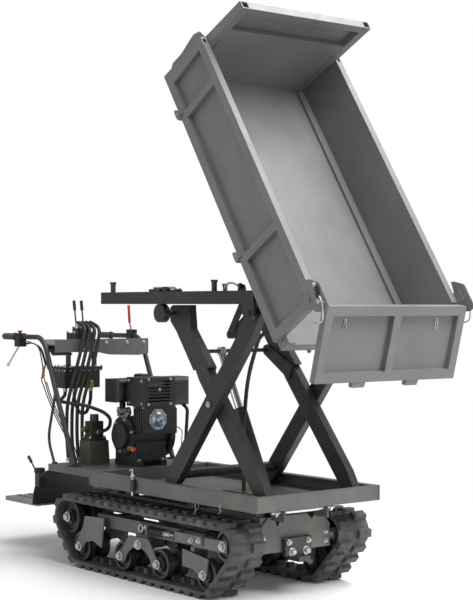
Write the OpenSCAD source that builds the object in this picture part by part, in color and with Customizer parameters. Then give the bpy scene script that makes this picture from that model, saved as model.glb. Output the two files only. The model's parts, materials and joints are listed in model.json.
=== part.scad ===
// Tracked power carrier: rubber-tracked base, walk-behind controls, scissor high lift and tipping skip.
// X points forward, Y to the machine's left, Z up. Every length is in millimetres.
// Modelled as it stands with the lift raised, the skip tipped and the tailgate hanging open.

/* [Base frame] */
// Length of the base frame
base_len = 1250; // [1150:10:1400]
// Width over the base frame's side rails
base_w = 710; // [680:2:760]
// Height of the base frame's top face above the ground
base_top = 462; // [450:1:500]
// Height of the rail section
rail_h = 60; // [56:1:70]
// Width of the rail section
rail_w = 40; // [36:1:46]
// Wall of the rail channels
rail_wall = 6; // [4:0.5:8]
// Length of the rear deck behind the base frame
deck_len = 420; // [400:5:460]
// Thickness of deck and tray plates
plate_t = 6; // [4:0.5:8]

/* [Tracks] */
// Distance between the two tracks' centre planes
gauge = 610; // [600:2:680]
// Width of a track
track_w = 180; // [160:2:200]
// Thickness of the rubber belt
belt_t = 12; // [9:0.5:14]
// Height of the ground lugs
lug_h = 18; // [12:0.5:20]
// Height of the guide teeth inside the belt
guide_h = 22; // [14:1:24]
// Number of lugs around a track
lug_count = 42; // [30:1:48]
// Radius of the drive sprocket's rims
sprocket_r = 80; // [72:1:84]
// Distance of the sprocket's centre behind the base frame
sprocket_back = 160; // [150:5:180]
// Height of the sprocket's centre
sprocket_z = 230; // [225:1:240]
// Radius of the front idler
idler_r = 67; // [60:1:72]
// Distance of the idler's centre behind the base frame's front end
idler_back = 190; // [160:5:210]
// Height of the idler's centre
idler_z = 240; // [230:1:250]
// Radius of the road rollers
roller_r = 70; // [60:1:74]
// Running gap between wheels and belt
wheel_gap = 0.5; // [0.3:0.1:1]
// Extra gap under the rollers of the rocking pair
rock_gap = 3; // [2:0.5:4]
// Radius of the wheels' axles
axle_r = 11; // [9:0.5:14]

/* [Scissor lift] */
// Distance of the fixed front pivots behind the base frame's front end
pivot_back = 52; // [50:2:80]
// Half the distance between a leg's end pivots
half_leg = 506; // [480:2:520]
// Angle of the raised legs above the ground
leg_angle = 51.2; // [46:0.2:54]
// Depth of a leg
leg_d = 80; // [70:1:84]
// Width of a leg across the machine
leg_w = 40; // [30:1:42]
// Radius of the legs' pivot ends
leg_end_r = 26; // [22:1:28]
// Side clearance between neighbouring legs, rails and lugs
leg_gap = 3; // [2:0.5:4]
// Radius of the scissor pins
pin_r = 12; // [10:0.5:14]
// Radial clearance of pins in their bores
pin_fit = 0.05; // [0.02:0.01:0.1]

/* [Upper frame] */
// Distance of the upper frame's rear end from the base frame's rear end
upper_x = 96; // [90:2:130]
// Height of the upper frame's rails
upper_h = 55; // [50:1:62]
// Radius of the rollers under the upper rails
upper_roller_r = 41.5; // [36:0.5:44]
// Height of the pegs that carry the lowered skip
peg_h = 48; // [44:1:52]

/* [Skip] */
// Inner length of the skip's floor
floor_len = 1383; // [1300:5:1400]
// Width over the skip's sides
skip_w = 802; // [790:2:840]
// Height of the sides above the skip's underside
side_h = 311; // [280:1:340]
// Thickness of the sides
side_t = 32; // [28:1:36]
// Thickness of the floor's frame
floor_h = 40; // [34:1:44]
// Thickness of the sheet panels
sheet_t = 5; // [4:0.5:6]
// Height of the headboard above the sides
head_rise = 256; // [200:2:280]
// Forward lean of the headboard at its top
head_lean = 60; // [40:2:70]
// Angle of the tipped skip
skip_tilt = 57.1; // [45:0.1:60]
// Distance of the skip's front end ahead of its hinge
hinge_set = 313; // [300:1:320]
// Depth of the hinge below the skip's underside
hinge_drop = 69; // [66:1:74]
// Radius of the skip's hinge pin
hinge_r = 10; // [8:0.5:12]

/* [Tailgate] */
// Height of the tailgate
gate_h = 313; // [290:1:330]
// Thickness of the tailgate
gate_t = 30; // [26:1:34]
// Distance of the tailgate's middle plane ahead of its hinge
gate_set = 40; // [38:1:46]
// Lean of the hanging tailgate from upright
gate_hang = 14.5; // [10:0.5:20]
// Radius of the tailgate's hinge stubs
gate_pin_r = 8; // [6:0.5:9]

/* [Cylinders] */
// Outer radius of the lift cylinder
lift_r = 32; // [28:1:34]
// Radius of the lift cylinder's rod
lift_rod_r = 18; // [15:1:20]
// Length of the lift cylinder's barrel
lift_len = 500; // [470:5:520]
// Outer radius of the tipping cylinder
tip_r = 27; // [24:1:28]
// Radius of the tipping cylinder's rod
tip_rod_r = 14; // [12:1:16]
// Length of the tipping cylinder's barrel
tip_len = 330; // [320:2:340]
// Distance of the tipping cylinder's head behind the skip's hinge
tip_arm = 220; // [210:2:230]

/* [Controls] */
// Distance between the handlebars
bar_gap = 600; // [580:4:620]
// Radius of the handlebar tube
bar_r = 13; // [12:0.5:15]
// Height of the grips above the base frame
grip_z = 632; // [600:2:660]
// Distance of the grips' rear ends behind the base frame
grip_back = 905; // [880:5:930]
// Length of a grip
grip_len = 115; // [105:1:125]
// Radius of a grip
grip_r = 17; // [16:0.5:19]
// Width of the operator's step
step_w = 520; // [480:5:540]
// Distance of the step's rear edge behind the base frame
step_back = 970; // [950:5:990]
// Length of the step
step_len = 320; // [300:5:325]

/* [Engine] */
// Distance of the engine's front face from the base frame's rear end
engine_front = 60; // [50:1:64]
// Distance of the engine's middle from its mounting line, to the left
engine_y = 26; // [0:2:30]
// Height of the engine's top above the base frame
engine_top = 440; // [430:1:450]

/* [Hidden] */
$fn = 48;

// Colours of the finishes
skip_grey = "#767676";
frame_grey = "#4c4c4c";
dark_paint = "#2c2c2c";
rubber_black = "#1d1d1d";
bright_zinc = "#b9bcbe";
signal_red = "#c01820";
olive_paint = "#3a3a30";

// Levels and side planes shared by several pieces
half_w = base_w / 2;
rail_in = half_w - rail_w;
leg_out_y = rail_in - leg_gap;
leg_in_y = leg_out_y - leg_w - leg_gap;
leg_clear_y = leg_in_y - leg_w;
pivot_x = base_len - pivot_back;
pivot_z = base_top - rail_h / 2;
tray_top = base_top - rail_h;
center_x = pivot_x - half_leg * cos(leg_angle);
center_z = pivot_z + half_leg * sin(leg_angle);
rear_x = pivot_x - 2 * half_leg * cos(leg_angle);
top_z = pivot_z + 2 * half_leg * sin(leg_angle);
upper_z = top_z + upper_roller_r + 0.3;
hinge_z = upper_z + 35;
belt_out = belt_t + lug_h;
roller_z = belt_out + roller_r;
idler_x = base_len - idler_back;
roller_x = [-55, idler_x - 768, idler_x - 473, idler_x - 135];
front_x = base_len - 171;
bogie_x = (roller_x[1] + roller_x[2]) / 2;
bogie_z = roller_z + 70;
beam_z = 205;
beam_h = 60;
beam_w = 56;
chassis_z = 250;
chassis_top = 345;
spine_y = 150;
spine_w = 40;
hub_rear_x = -sprocket_back - 34;

// Skip and tailgate places
gate_over = 15;
gate_pin_back = 14;
side_front = 32;
function skip_point(x, z) = [
    pivot_x + (x + hinge_set) * cos(skip_tilt) + (z + hinge_drop) * sin(skip_tilt),
    hinge_z - (x + hinge_set) * sin(skip_tilt) + (z + hinge_drop) * cos(skip_tilt)];
gate_pin_z = side_h - 5;
gate_pivot = skip_point(-gate_pin_back, gate_pin_z);

// Middle of the machine's length, used as the origin
front_reach = gate_pivot[0] + (gate_set + gate_t / 2) * cos(gate_hang) + gate_over * sin(gate_hang);
x_mid = (front_reach - step_back) / 2;

half_skip = skip_w / 2;
sill_out = half_skip - side_t - 1;
sill_w = 38;
drop_axis_y = half_skip + 8;
drop_axis_z = 6;
drop_pin_r = 5;
drop_at = [-1200, -450];

// Cylinder places
lift_y = -50;
lift_foot = [pivot_x - 208, base_top - 120];
lift_eye = [pivot_x - 566, base_top + 585];
lift_dir = (lift_eye - lift_foot) / norm(lift_eye - lift_foot);
lift_span = norm(lift_eye - lift_foot);
tip_y = 50;
tip_rise = 15;
tip_foot = [pivot_x - 588, base_top + 660];
tip_eye = skip_point(-hinge_set - tip_arm, tip_rise - hinge_drop);
tip_dir = (tip_eye - tip_foot) / norm(tip_eye - tip_foot);
tip_span = norm(tip_eye - tip_foot);
eye_r = 20;
eye_w = 26;
eye_pin_r = 9;
eye_slot_r = 34;

// Handlebar and console places
bar_y = bar_gap / 2;
bar_z = base_top + grip_z;
bar_fit = 0.3;
clamp_x = -745;
red_x = -600;
console_x = -540;
console_front = -430;
console_z = base_top + 590;
valve_y = -100;

// Step places
step_z = 240;
step_t = 22;
step_hinge_x = step_len - step_back + 12;
step_pin_z = step_z - step_t / 2;

// Box between two opposite corners
module block(low, high) {
    translate(low)
        cube(high - low);
}

// Side profile, drawn as X and Z, thickened from y0 to y1
module slab(y0, y1) {
    translate([0, y1, 0])
        rotate([90, 0, 0])
            linear_extrude(y1 - y0)
                children();
}

// Round bar across the machine
module bar_across(p, y0, y1, r) {
    translate([p[0], y0, p[1]])
        rotate([-90, 0, 0])
            cylinder(h = y1 - y0, r = r);
}

// Round bar in the plane y, from point p along unit direction d
module bar_along(p, d, y, from, to, r) {
    translate([p[0] + d[0] * from, y, p[1] + d[1] * from])
        rotate([0, 90 - atan2(d[1], d[0]), 0])
            cylinder(h = to - from, r = r);
}

module both_sides() {
    children();
    mirror([0, 1, 0])
        children();
}

// Closed arc of points around c
function arc(c, r, a0, a1, steps) = [for (i = [0:steps])
    c + r * [cos(a0 + (a1 - a0) * i / steps), sin(a0 + (a1 - a0) * i / steps)]];

// Rectangle between two corners with rounded corners
function rounded_box(low, high, r) = concat(
    arc([high[0] - r, high[1] - r], r, 0, 90, 6), arc([low[0] + r, high[1] - r], r, 90, 180, 6),
    arc([low[0] + r, low[1] + r], r, 180, 270, 6), arc([high[0] - r, low[1] + r], r, 270, 360, 6));

// Outline of a link with round ends of radius r and a body of half depth h
function link_points(p, q, r, h, taper) = let (
    a = atan2(q[1] - p[1], q[0] - p[0]),
    d = [cos(a), sin(a)],
    n = [-sin(a), cos(a)])
    concat(arc(q, r, a - 90, a + 90, 12),
        h > r ? [q - taper * d + h * n, p + taper * d + h * n] : [],
        arc(p, r, a + 90, a + 270, 12),
        h > r ? [p + taper * d - h * n, q - taper * d - h * n] : []);

// Smooth path: corners of a route replaced by arcs of n steps
function unit(v) = v / norm(v);
function rounded(pts, r, n) = concat([pts[0]],
    [for (i = [1:len(pts) - 2])
        let (
            u = unit(pts[i - 1] - pts[i]),
            w = unit(pts[i + 1] - pts[i]),
            cut = min(r, 0.45 * norm(pts[i - 1] - pts[i]), 0.45 * norm(pts[i + 1] - pts[i])))
        for (k = [0:n])
            let (t = k / n)
            pts[i] + (1 - t) * (1 - t) * cut * u + t * t * cut * w],
    [pts[len(pts) - 1]]);

// Round tube swept along a path, with the given number of sides
module swept(path, r, sides) {
    count = len(path);
    tangents = [for (i = [0:count - 1]) unit(path[min(i + 1, count - 1)] - path[max(i - 1, 0)])];
    normals = [for (t = tangents) unit(cross(t, abs(t[1]) > 0.9 ? [1, 0, 0.01] : [0, 1, 0.01]))];
    points = [for (i = [0:count - 1]) for (k = [0:sides - 1])
        path[i] + r * (cos(360 * k / sides) * normals[i]
            + sin(360 * k / sides) * cross(tangents[i], normals[i]))];
    walls = [for (i = [0:count - 2]) for (k = [0:sides - 1]) for (half = [0, 1])
        let (
            a = i * sides + k,
            b = i * sides + (k + 1) % sides)
        half == 0 ? [a, b, b + sides] : [a, b + sides, a + sides]];
    cap_low = [for (k = [1:sides - 2]) [0, k + 1, k]];
    cap_high = [for (k = [1:sides - 2])
        let (o = (count - 1) * sides)
        [o, o + k, o + k + 1]];
    polyhedron(points = points, faces = [for (f = concat(walls, cap_low, cap_high)) [f[2], f[1], f[0]]]);
}

module on_machine() {
    translate([-x_mid, 0, 0])
        children();
}

// Local frame of the skip: origin at the front end of its underside, X forward along the floor
module on_skip() {
    on_machine()
        translate([pivot_x, 0, hinge_z])
            rotate([0, skip_tilt, 0])
                translate([hinge_set, 0, hinge_drop])
                    children();
}

// Track path: wheels in turn, seen with X to the right and Z up, going round anticlockwise
track_wheels = [
    [[-sprocket_back, sprocket_z], sprocket_r],
    [[roller_x[0], roller_z], roller_r],
    [[roller_x[3], roller_z], roller_r],
    [[idler_x, idler_z], idler_r]];
wheel_count = len(track_wheels);
function wheel(i) = track_wheels[(i + wheel_count) % wheel_count];
function span_vector(i) = wheel(i + 1)[0] - wheel(i)[0];
function span_normal(i) = atan2(span_vector(i)[1], span_vector(i)[0]) - 90
    + asin((wheel(i)[1] - wheel(i + 1)[1]) / norm(span_vector(i)));
function turn_start(i) = span_normal(i - 1);
function turn_end(i) = let (e = span_normal(i)) e < turn_start(i) ? e + 360 : e;
function turn_length(i, off) = (turn_end(i) - turn_start(i)) * PI / 180 * (wheel(i)[1] + off);
function span_length(i) = sqrt(pow(norm(span_vector(i)), 2) - pow(wheel(i)[1] - wheel(i + 1)[1], 2));
function path_length(i, off) = i < 0 ? 0 : path_length(i - 1, off) + turn_length(i, off) + span_length(i);
function loop_points(off) = [for (i = [0:wheel_count - 1])
    let (steps = max(2, ceil((turn_end(i) - turn_start(i)) / 6)))
    for (p = arc(wheel(i)[0], wheel(i)[1] + off, turn_start(i), turn_end(i), steps)) p];
// Point and outward angle of the belt's inner face at distance s along it
function belt_at(s, i = 0) = let (turn = turn_length(i, 0), straight = span_length(i))
    s < turn
        ? let (a = turn_start(i) + s / wheel(i)[1] * 180 / PI)
            [wheel(i)[0] + wheel(i)[1] * [cos(a), sin(a)], a]
        : s < turn + straight
            ? let (a = span_normal(i), t = (s - turn) / straight,
                  n = [cos(a), sin(a)])
                [(1 - t) * (wheel(i)[0] + wheel(i)[1] * n) + t * (wheel(i + 1)[0] + wheel(i + 1)[1] * n), a]
            : belt_at(s - turn - straight, i + 1);

belt_length = path_length(wheel_count - 1, 0);
lug_pitch = belt_length / lug_count;
lug_base = 44;
lug_tip = 34;
guide_base = 30;
guide_tip = 18;
guide_w = 36;

// One row of ground lugs, shifted along the belt by part of a pitch
module lug_row(shift) {
    for (k = [0:lug_count - 1]) {
        place = belt_at((k + shift) * lug_pitch);
        translate(place[0])
            rotate(place[1] - 90)
                polygon([[-lug_base / 2, belt_t - 1], [lug_base / 2, belt_t - 1],
                    [lug_tip / 2, belt_out], [-lug_tip / 2, belt_out]]);
    }
}

module guide_row() {
    for (k = [0:lug_count - 1]) {
        place = belt_at((k + 0.25) * lug_pitch);
        translate(place[0])
            rotate(place[1] - 90)
                polygon([[-guide_base / 2, 1], [guide_base / 2, 1],
                    [guide_tip / 2, -guide_h], [-guide_tip / 2, -guide_h]]);
    }
}

module belt_ring() {
    difference() {
        polygon(loop_points(belt_t));
        polygon(loop_points(0));
    }
}

// Rubber track of one side: two staggered lug rows and a middle strip with guide teeth
module track(side) {
    mid = side * gauge / 2;
    color(rubber_black)
        on_machine() {
            slab(mid - track_w / 2, mid - guide_w / 2) {
                belt_ring();
                lug_row(0);
            }
            slab(mid - guide_w / 2, mid + guide_w / 2) {
                belt_ring();
                guide_row();
            }
            slab(mid + guide_w / 2, mid + track_w / 2) {
                belt_ring();
                lug_row(0.5);
            }
        }
}

rim_in = guide_w / 2 + 6;
rim_out = 58;
hub_r = 34;

// Spoked drum with two rims, turned about its own axis, for sprocket, idler and rollers
module drum(p, side, r, groove) {
    mid = side * gauge / 2;
    difference() {
        union() {
            for (s = [-1, 1])
                bar_across(p, mid + (s > 0 ? rim_in : -rim_out), mid + (s > 0 ? rim_out : -rim_in),
                    r - wheel_gap);
            bar_across(p, mid - rim_in, mid + rim_in, groove);
            bar_across(p, mid - rim_out - 6, mid + rim_out + 6, hub_r);
        }
        bar_across(p, mid - rim_out - 8, mid + rim_out + 8, axle_r + pin_fit);
        for (s = [-1, 1])
            translate([p[0], mid + s * (rim_out + 1), p[1]])
                rotate([s > 0 ? 90 : -90, 0, 0])
                    difference() {
                        cylinder(h = 15, r = r - 13);
                        translate([0, 0, -1])
                            cylinder(h = 17, r = hub_r);
                    }
    }
}

module sprocket(side) {
    p = [-sprocket_back, sprocket_z];
    color(frame_grey)
        on_machine()
            drum(p, side, sprocket_r, sprocket_r - guide_h - 9);
}

module idler(side) {
    color(frame_grey)
        on_machine()
            drum([idler_x, idler_z], side, idler_r, idler_r - guide_h - 4);
}

module roller(side, i) {
    color(frame_grey)
        on_machine()
            drum([roller_x[i], roller_z], side, roller_r - (i == 1 || i == 2 ? rock_gap : 0),
                roller_r - guide_h - 8);
}

// Plates that hold wheels stand just outside the rims
cheek_in = rim_out + 8;
cheek_t = 8;
axle_half = cheek_in + cheek_t;

// Axle between two cheek plates, with a bolt head outside each
module axle(p, side) {
    mid = side * gauge / 2;
    bar_across(p, mid - axle_half, mid + axle_half, axle_r);
    for (s = [-1, 1])
        translate([p[0], mid + s * (axle_half + (s > 0 ? 0 : 9)), p[1]])
            rotate([-90, 0, 0])
                cylinder(h = 9, r = axle_r + 4, $fn = 6);
}

module cheeks(side) {
    mid = side * gauge / 2;
    for (s = [-1, 1])
        slab(mid + (s > 0 ? cheek_in : -cheek_in - cheek_t), mid + (s > 0 ? cheek_in + cheek_t : -cheek_in))
            children();
}

// Rocking pair of rollers: two arched cheeks, their axles and the bush on the pivot
module bogie(side) {
    mid = side * gauge / 2;
    color(frame_grey)
        on_machine() {
            difference() {
                cheeks(side)
                    polygon(concat([[bogie_x - 75, bogie_z + 34], [roller_x[1] - 26, roller_z - 20],
                        [roller_x[1] + 26, roller_z - 24]],
                        arc([bogie_x, roller_z - 60], 118, 160, 20, 10),
                        [[roller_x[2] - 26, roller_z - 24], [roller_x[2] + 26, roller_z - 20],
                        [bogie_x + 75, bogie_z + 34]]));
                bar_across([bogie_x, bogie_z], mid - 100, mid + 100, axle_r + pin_fit);
            }
            axle([roller_x[1], roller_z], side);
            axle([roller_x[2], roller_z], side);
        }
}

// Bracket cheeks of a single roller, hung from the track beam
module roller_bracket(side, i, top) {
    cheeks(side)
        polygon(concat(arc([roller_x[i], roller_z], 24, 200, 340, 8), top));
    axle([roller_x[i], roller_z], side);
}

fork_len = 205;

// Undercarriage's cross members, front plate and ears of the lift cylinder
module chassis() {
    color(frame_grey)
        on_machine()
            difference() {
                union() {
                    both_sides()
                        block([front_x, 118, 330], [front_x + 86, 128, tray_top - plate_t]);
                    for (x = [-190, base_len - 950, base_len - 320])
                        block([x, -spine_y, chassis_z], [x + 50, spine_y, chassis_z + 45]);
                    front_plate();
                    lift_lugs();
                }
                bar_across([front_shaft_x, front_shaft_z], -200, 200, front_shaft_r + 0.02);
                bar_across(lift_foot, lift_y - 60, lift_y + 60, eye_slot_r);
            }
}

// Front plate with its two notches
module front_plate() {
    translate([front_x, 0, 0])
        rotate([90, 0, 90])
            linear_extrude(8)
                polygon([[-205, 190], [205, 190], [205, 290], [150, 345], [118, 345], [100, 318], [70, 345],
                    [-70, 345], [-100, 300], [-118, 345], [-150, 345], [-205, 290]]);
}

// Track frames: spine and track beams, drive shafts, roller brackets, bogie pivots and sliding forks
module track_frames() {
    mid = gauge / 2;
    color(frame_grey)
        on_machine() {
            both_sides() {
                block([-190, spine_y, chassis_z], [front_x, spine_y + spine_w, chassis_top]);
                for (x = [60, base_len - 690, base_len - 250])
                    block([x, spine_y, chassis_top], [x + 60, spine_y + spine_w, tray_top - plate_t]);
                block([40, mid - beam_w / 2, beam_z], [idler_x - 180, mid + beam_w / 2, beam_z + beam_h]);
                for (x = [90, idler_x - 280])
                    block([x, spine_y, beam_z + 5], [x + 70, mid, beam_z + beam_h - 5]);
            }
            for (side = [-1, 1]) {
                sprocket_shaft(side);
                track_mounts(side);
                idler_fork(side);
            }
        }
}

// Brackets of the first and last roller and the bogie's pivot
module track_mounts(side) {
    mid = side * gauge / 2;
    roller_bracket(side, 0, [[0, roller_z + 26], [64, roller_z + 40], [136, roller_z + 16],
        [150, roller_z + 98], [158, beam_z + 52], [-6, beam_z + 46], [-24, roller_z + 98],
        [-86, roller_z + 14]]);
    roller_bracket(side, 3, [[roller_x[3] + 34, roller_z + 72], [roller_x[3] - 150, roller_z + 96],
        [roller_x[3] - 150, roller_z + 20], [roller_x[3] - 70, roller_z + 16]]);
    block([40, mid - cheek_in, beam_z + 10], [64, mid + cheek_in, beam_z + 34]);
    block([roller_x[3] - 99, mid - cheek_in, beam_z - 15], [roller_x[3] - 75, mid + cheek_in, beam_z + 7]);
    bar_across([bogie_x, bogie_z], mid - axle_half - 0.3, mid + axle_half + 0.3, axle_r);
    for (s = [-1, 1])
        translate([bogie_x, mid + s * (axle_half + 0.3) - (s > 0 ? 0 : 9), bogie_z])
            rotate([-90, 0, 0])
                cylinder(h = 9, r = axle_r + 5, $fn = 6);
    bogie_hanger(mid);
}

// Block under the track beam that carries the bogie's pivot
module bogie_hanger(mid) {
    slab(mid - 54, mid + 54)
        polygon([[bogie_x - 50, beam_z + 8], [bogie_x - 22, bogie_z - 20], [bogie_x + 22, bogie_z - 20],
            [bogie_x + 50, beam_z + 8]]);
}

// Drive shaft from the spine out through the sprocket
module sprocket_shaft(side) {
    mid = side * gauge / 2;
    y0 = side > 0 ? spine_y + spine_w : mid - rim_out - 16;
    y1 = side > 0 ? mid + rim_out + 16 : -spine_y - spine_w;
    bar_across([-sprocket_back, sprocket_z], y0, y1, axle_r);
    translate([-sprocket_back, side > 0 ? y1 : y0 - 9, sprocket_z])
        rotate([-90, 0, 0])
            cylinder(h = 9, r = axle_r + 6, $fn = 6);
    block([hub_rear_x, min(side * spine_y, side * (spine_y + spine_w + 25)), sprocket_z - 40],
        [-sprocket_back + 60, max(side * spine_y, side * (spine_y + spine_w + 25)), chassis_top]);
}

// Ears for the foot of the lift cylinder, with slotted holes
module lift_lugs() {
    low = chassis_z + 45 - lift_foot[1];
    for (s = [-1, 1])
        slab(lift_y + s * (lift_r + 8) - 5, lift_y + s * (lift_r + 8) + 5)
            translate(lift_foot)
                polygon([[-50, low], [-50, 44], [50, 44], [50, low]]);
    block([lift_foot[0] - 60, lift_y - 60, chassis_z + 20], [lift_foot[0] + 60, lift_y + 60, chassis_z + 45]);
}

// Sliding fork that holds an idler's axle, tensioned from the track beam
module idler_fork(side) {
    mid = side * gauge / 2;
    cheeks(side)
        polygon([[idler_x - fork_len, idler_z - 26], [idler_x - fork_len, idler_z + 20],
            [idler_x + 28, idler_z + 26], [idler_x + 28, idler_z - 26]]);
    axle([idler_x, idler_z], side);
    block([idler_x - 179.8, mid - 24, beam_z + 8], [idler_x - 130, mid + 24, beam_z + 52]);
    block([idler_x - 130, mid - cheek_in, idler_z - 20], [idler_x - 110, mid + cheek_in, idler_z + 16]);
}

front_shaft_x = base_len - 110;
front_shaft_z = 372;
front_shaft_r = 12;

module front_shaft() {
    color(bright_zinc)
        on_machine() {
            bar_across([front_shaft_x, front_shaft_z], -150, 150, front_shaft_r);
            for (y = [-162, 150])
                translate([front_shaft_x, y, front_shaft_z])
                    rotate([-90, 0, 0])
                        cylinder(h = 12, r = front_shaft_r + 7, $fn = 6);
        }
}

hitch_x = front_x + 8;
hitch_bore_r = 9;

// Tow hitch: bolted block with a drilled tongue
module tow_hitch() {
    color(frame_grey)
        on_machine()
            difference() {
                union() {
                    block([hitch_x, -75, 172], [hitch_x + 26, 75, 250]);
                    block([hitch_x, -32, 150], [hitch_x + 66, 32, 172]);
                    for (y = [-40, 40])
                        translate([hitch_x + 26, y, 190])
                            rotate([0, 90, 0])
                                cylinder(h = 10, r = 13, $fn = 6);
                }
                translate([hitch_x + 46, 0, 140])
                    cylinder(h = 40, r = hitch_bore_r);
            }
}

// Base frame: inward-facing channels on both sides, end beams and the rear deck
module deck_frame() {
    color(frame_grey)
        on_machine() {
            both_sides()
                side_channel();
            block([0, -rail_in, tray_top], [rail_w, rail_in, base_top]);
            block([base_len - 20, -half_w + rail_wall, tray_top], [base_len, half_w - rail_wall, base_top]);
            rear_deck();
        }
}

module side_channel() {
    difference() {
        block([0, rail_in, tray_top], [base_len, half_w, base_top]);
        block([rail_w + 100, rail_in - 1, tray_top + rail_wall],
            [base_len - 60, half_w - rail_wall, base_top - rail_wall]);
    }
}

// Rear deck plate with a turned-down edge
module rear_deck() {
    block([-deck_len, -bar_y - 30, base_top - plate_t], [0, bar_y + 30, base_top]);
    block([-deck_len, -bar_y - 30, base_top - 34], [-deck_len + plate_t, bar_y + 30, base_top - plate_t]);
    for (s = [-1, 1])
        block([-deck_len + plate_t, s * bar_y + (s > 0 ? 24 : -30), base_top - 34],
            [0, s * bar_y + (s > 0 ? 30 : -24), base_top - plate_t]);
    both_sides()
        block([-188, spine_y, chassis_top], [0, spine_y + spine_w, base_top - plate_t]);
}

lift_well = [pivot_x - 610, pivot_x - 138];

// Tray under the rails, open where the lift cylinder swings
module deck_plate() {
    color(frame_grey)
        on_machine() {
            difference() {
                block([0, -half_w, tray_top - plate_t], [base_len, half_w, tray_top]);
                block([lift_well[0], lift_y - 56, tray_top - 20], [lift_well[1], lift_y + 56, tray_top + 20]);
            }
            both_sides()
                for (y = [leg_clear_y - 13, leg_in_y + leg_gap + 1])
                    slab(y, y + 10)
                        polygon(concat([[pivot_x - 34, tray_top]], [[pivot_x + 32, tray_top]],
                            arc([pivot_x, pivot_z], leg_end_r, 0, 180, 12)));
            both_sides()
                bar_across([pivot_x, pivot_z], leg_clear_y - 16, leg_in_y + leg_gap + 13, pin_r);
        }
}

// Folding operator's step with drip-edged holes, hinged at its front edge
module step_plate() {
    color(dark_paint)
        on_machine()
            difference() {
                union() {
                    block([-step_back, -step_w / 2, step_z - step_t], [step_hinge_x - 14, step_w / 2, step_z]);
                    for (x = [0:5])
                        for (y = [-3:3])
                            translate([-step_back + 38 + x * 48, y * 66, step_z])
                                cylinder(h = 6, r = 14);
                    for (y = [-120, 120])
                        difference() {
                            block([step_hinge_x - 30, y - 20, step_z - step_t],
                                [step_hinge_x + 8, y + 20, step_z - 2]);
                            bar_across([step_hinge_x, step_pin_z], y - 30, y + 30, 7 + pin_fit);
                        }
                }
                for (x = [0:5])
                    for (y = [-3:3])
                        translate([-step_back + 38 + x * 48, y * 66, step_z - step_t - 5])
                            cylinder(h = 50, r = 9);
                for (y = [-120, 120])
                    bar_across([step_hinge_x, step_pin_z], y - 30, y + 30, 7 + pin_fit);
            }
}

guard_r = 196;
guard_x = -430;

// Curved shield behind the rear deck, with the step's hinge arms
module rear_guard() {
    z = base_top - 34 - guard_r;
    color(dark_paint)
        on_machine() {
            slab(-bar_y, bar_y)
                polygon(concat(arc([guard_x, z], guard_r, 90, 180, 16),
                    arc([guard_x, z], guard_r - 5, 180, 90, 16)));
            block([guard_x, -bar_y, base_top - 39], [-deck_len + plate_t, bar_y, base_top - 34]);
            both_sides() {
                slab(145, 157)
                    polygon(concat(arc([step_hinge_x, step_pin_z], 13, 90, 270, 8),
                        [[hub_rear_x - 12, step_pin_z - 13], [hub_rear_x - 12, step_pin_z + 13]]));
                block([hub_rear_x - 12, 145, step_pin_z - 13], [hub_rear_x, spine_y + spine_w, chassis_top]);
            }
            for (y = [-120, 120])
                bar_across([step_hinge_x, step_pin_z], y > 0 ? y - 22 : -157, y > 0 ? 157 : y + 22, 7);
            block([-600, -bar_y, base_top - 134], [-560, -264, base_top - 38]);
            bar_across(shift_pin, -bar_y - 13, -bar_y, 5);
        }
}

// Places the engine's pieces across the machine
module on_engine() {
    on_machine()
        translate([0, engine_y, 0])
            children();
}

// Engine: crankcase, finned cylinder pointing forward, blower housing, muffler and mounting rails
module engine_block() {
    z = base_top + 150;
    color(dark_paint)
        on_engine() {
            bar_across([engine_front - 165, z], -120, 90, 96);
            bar_across([engine_front - 165, z], 90, 118, 118);
            bar_across([engine_front - 165, z], -146, -120, 62);
            block([engine_front - 250, -105, base_top + 28], [engine_front - 70, 75, base_top + 120]);
            for (i = [0:4])
                block([engine_front - 95 + i * 19, -104, z + 12], [engine_front - 84 + i * 19, 98, z + 136]);
            block([engine_front - 110, -92, z + 20], [engine_front - 6, 90, z + 148]);
            bar_across([engine_front - 76, base_top + 368], -90, 63, 52);
            block([engine_front - 96, -60, base_top + 290], [engine_front - 56, -20, base_top + 330]);
            for (y = [-90, 20])
                block([engine_front - 238, y, base_top + 200], [engine_front - 212, y + 20, base_top + 313]);
            for (y = [-100, 40])
                block([engine_front - 262, y, base_top], [engine_front - 55, y + 30, base_top + 28]);
        }
}

module fuel_tank() {
    x = engine_front - 298;
    low = base_top + 313;
    color(dark_paint)
        on_engine()
            intersection() {
                slab(-150, 74)
                    polygon(rounded_box([x, low], [x + 142, low + 116], 26));
                translate([0, 0, low - 1])
                    linear_extrude(120)
                        polygon(rounded_box([x, -150], [x + 142, 74], 30));
            }
}

guard_slots = 7;

// Ribbed heat guard over the muffler, open underneath
module muffler_guard() {
    x0 = engine_front - 152;
    low = base_top + 298;
    high = base_top + engine_top;
    color(rubber_black)
        on_engine()
            difference() {
                block([x0, -106, low], [engine_front, 79, high]);
                block([x0 + 4, -102, low - 1], [engine_front - 4, 75, high - 4]);
                for (i = [0:guard_slots - 1]) {
                    block([engine_front - 10, -80, low + 22 + i * 16], [engine_front + 5, 53, low + 30 + i * 16]);
                    block([x0 + 20 + i * 18, -86, high - 10], [x0 + 28 + i * 18, 59, high + 5]);
                }
            }
}

module air_cleaner() {
    x0 = engine_front - 152;
    low = base_top + 298;
    high = base_top + engine_top;
    color(dark_paint)
        on_engine()
            intersection() {
                slab(80, 185)
                    polygon(rounded_box([x0, low], [engine_front, high], 34));
                translate([0, 0, low - 1])
                    linear_extrude(high - low + 2)
                        polygon(concat([[x0, 80]], [[engine_front, 80]],
                            arc([engine_front - 40, 145], 40, 0, 90, 8),
                            arc([x0 + 40, 145], 40, 90, 180, 8)));
            }
}

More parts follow.
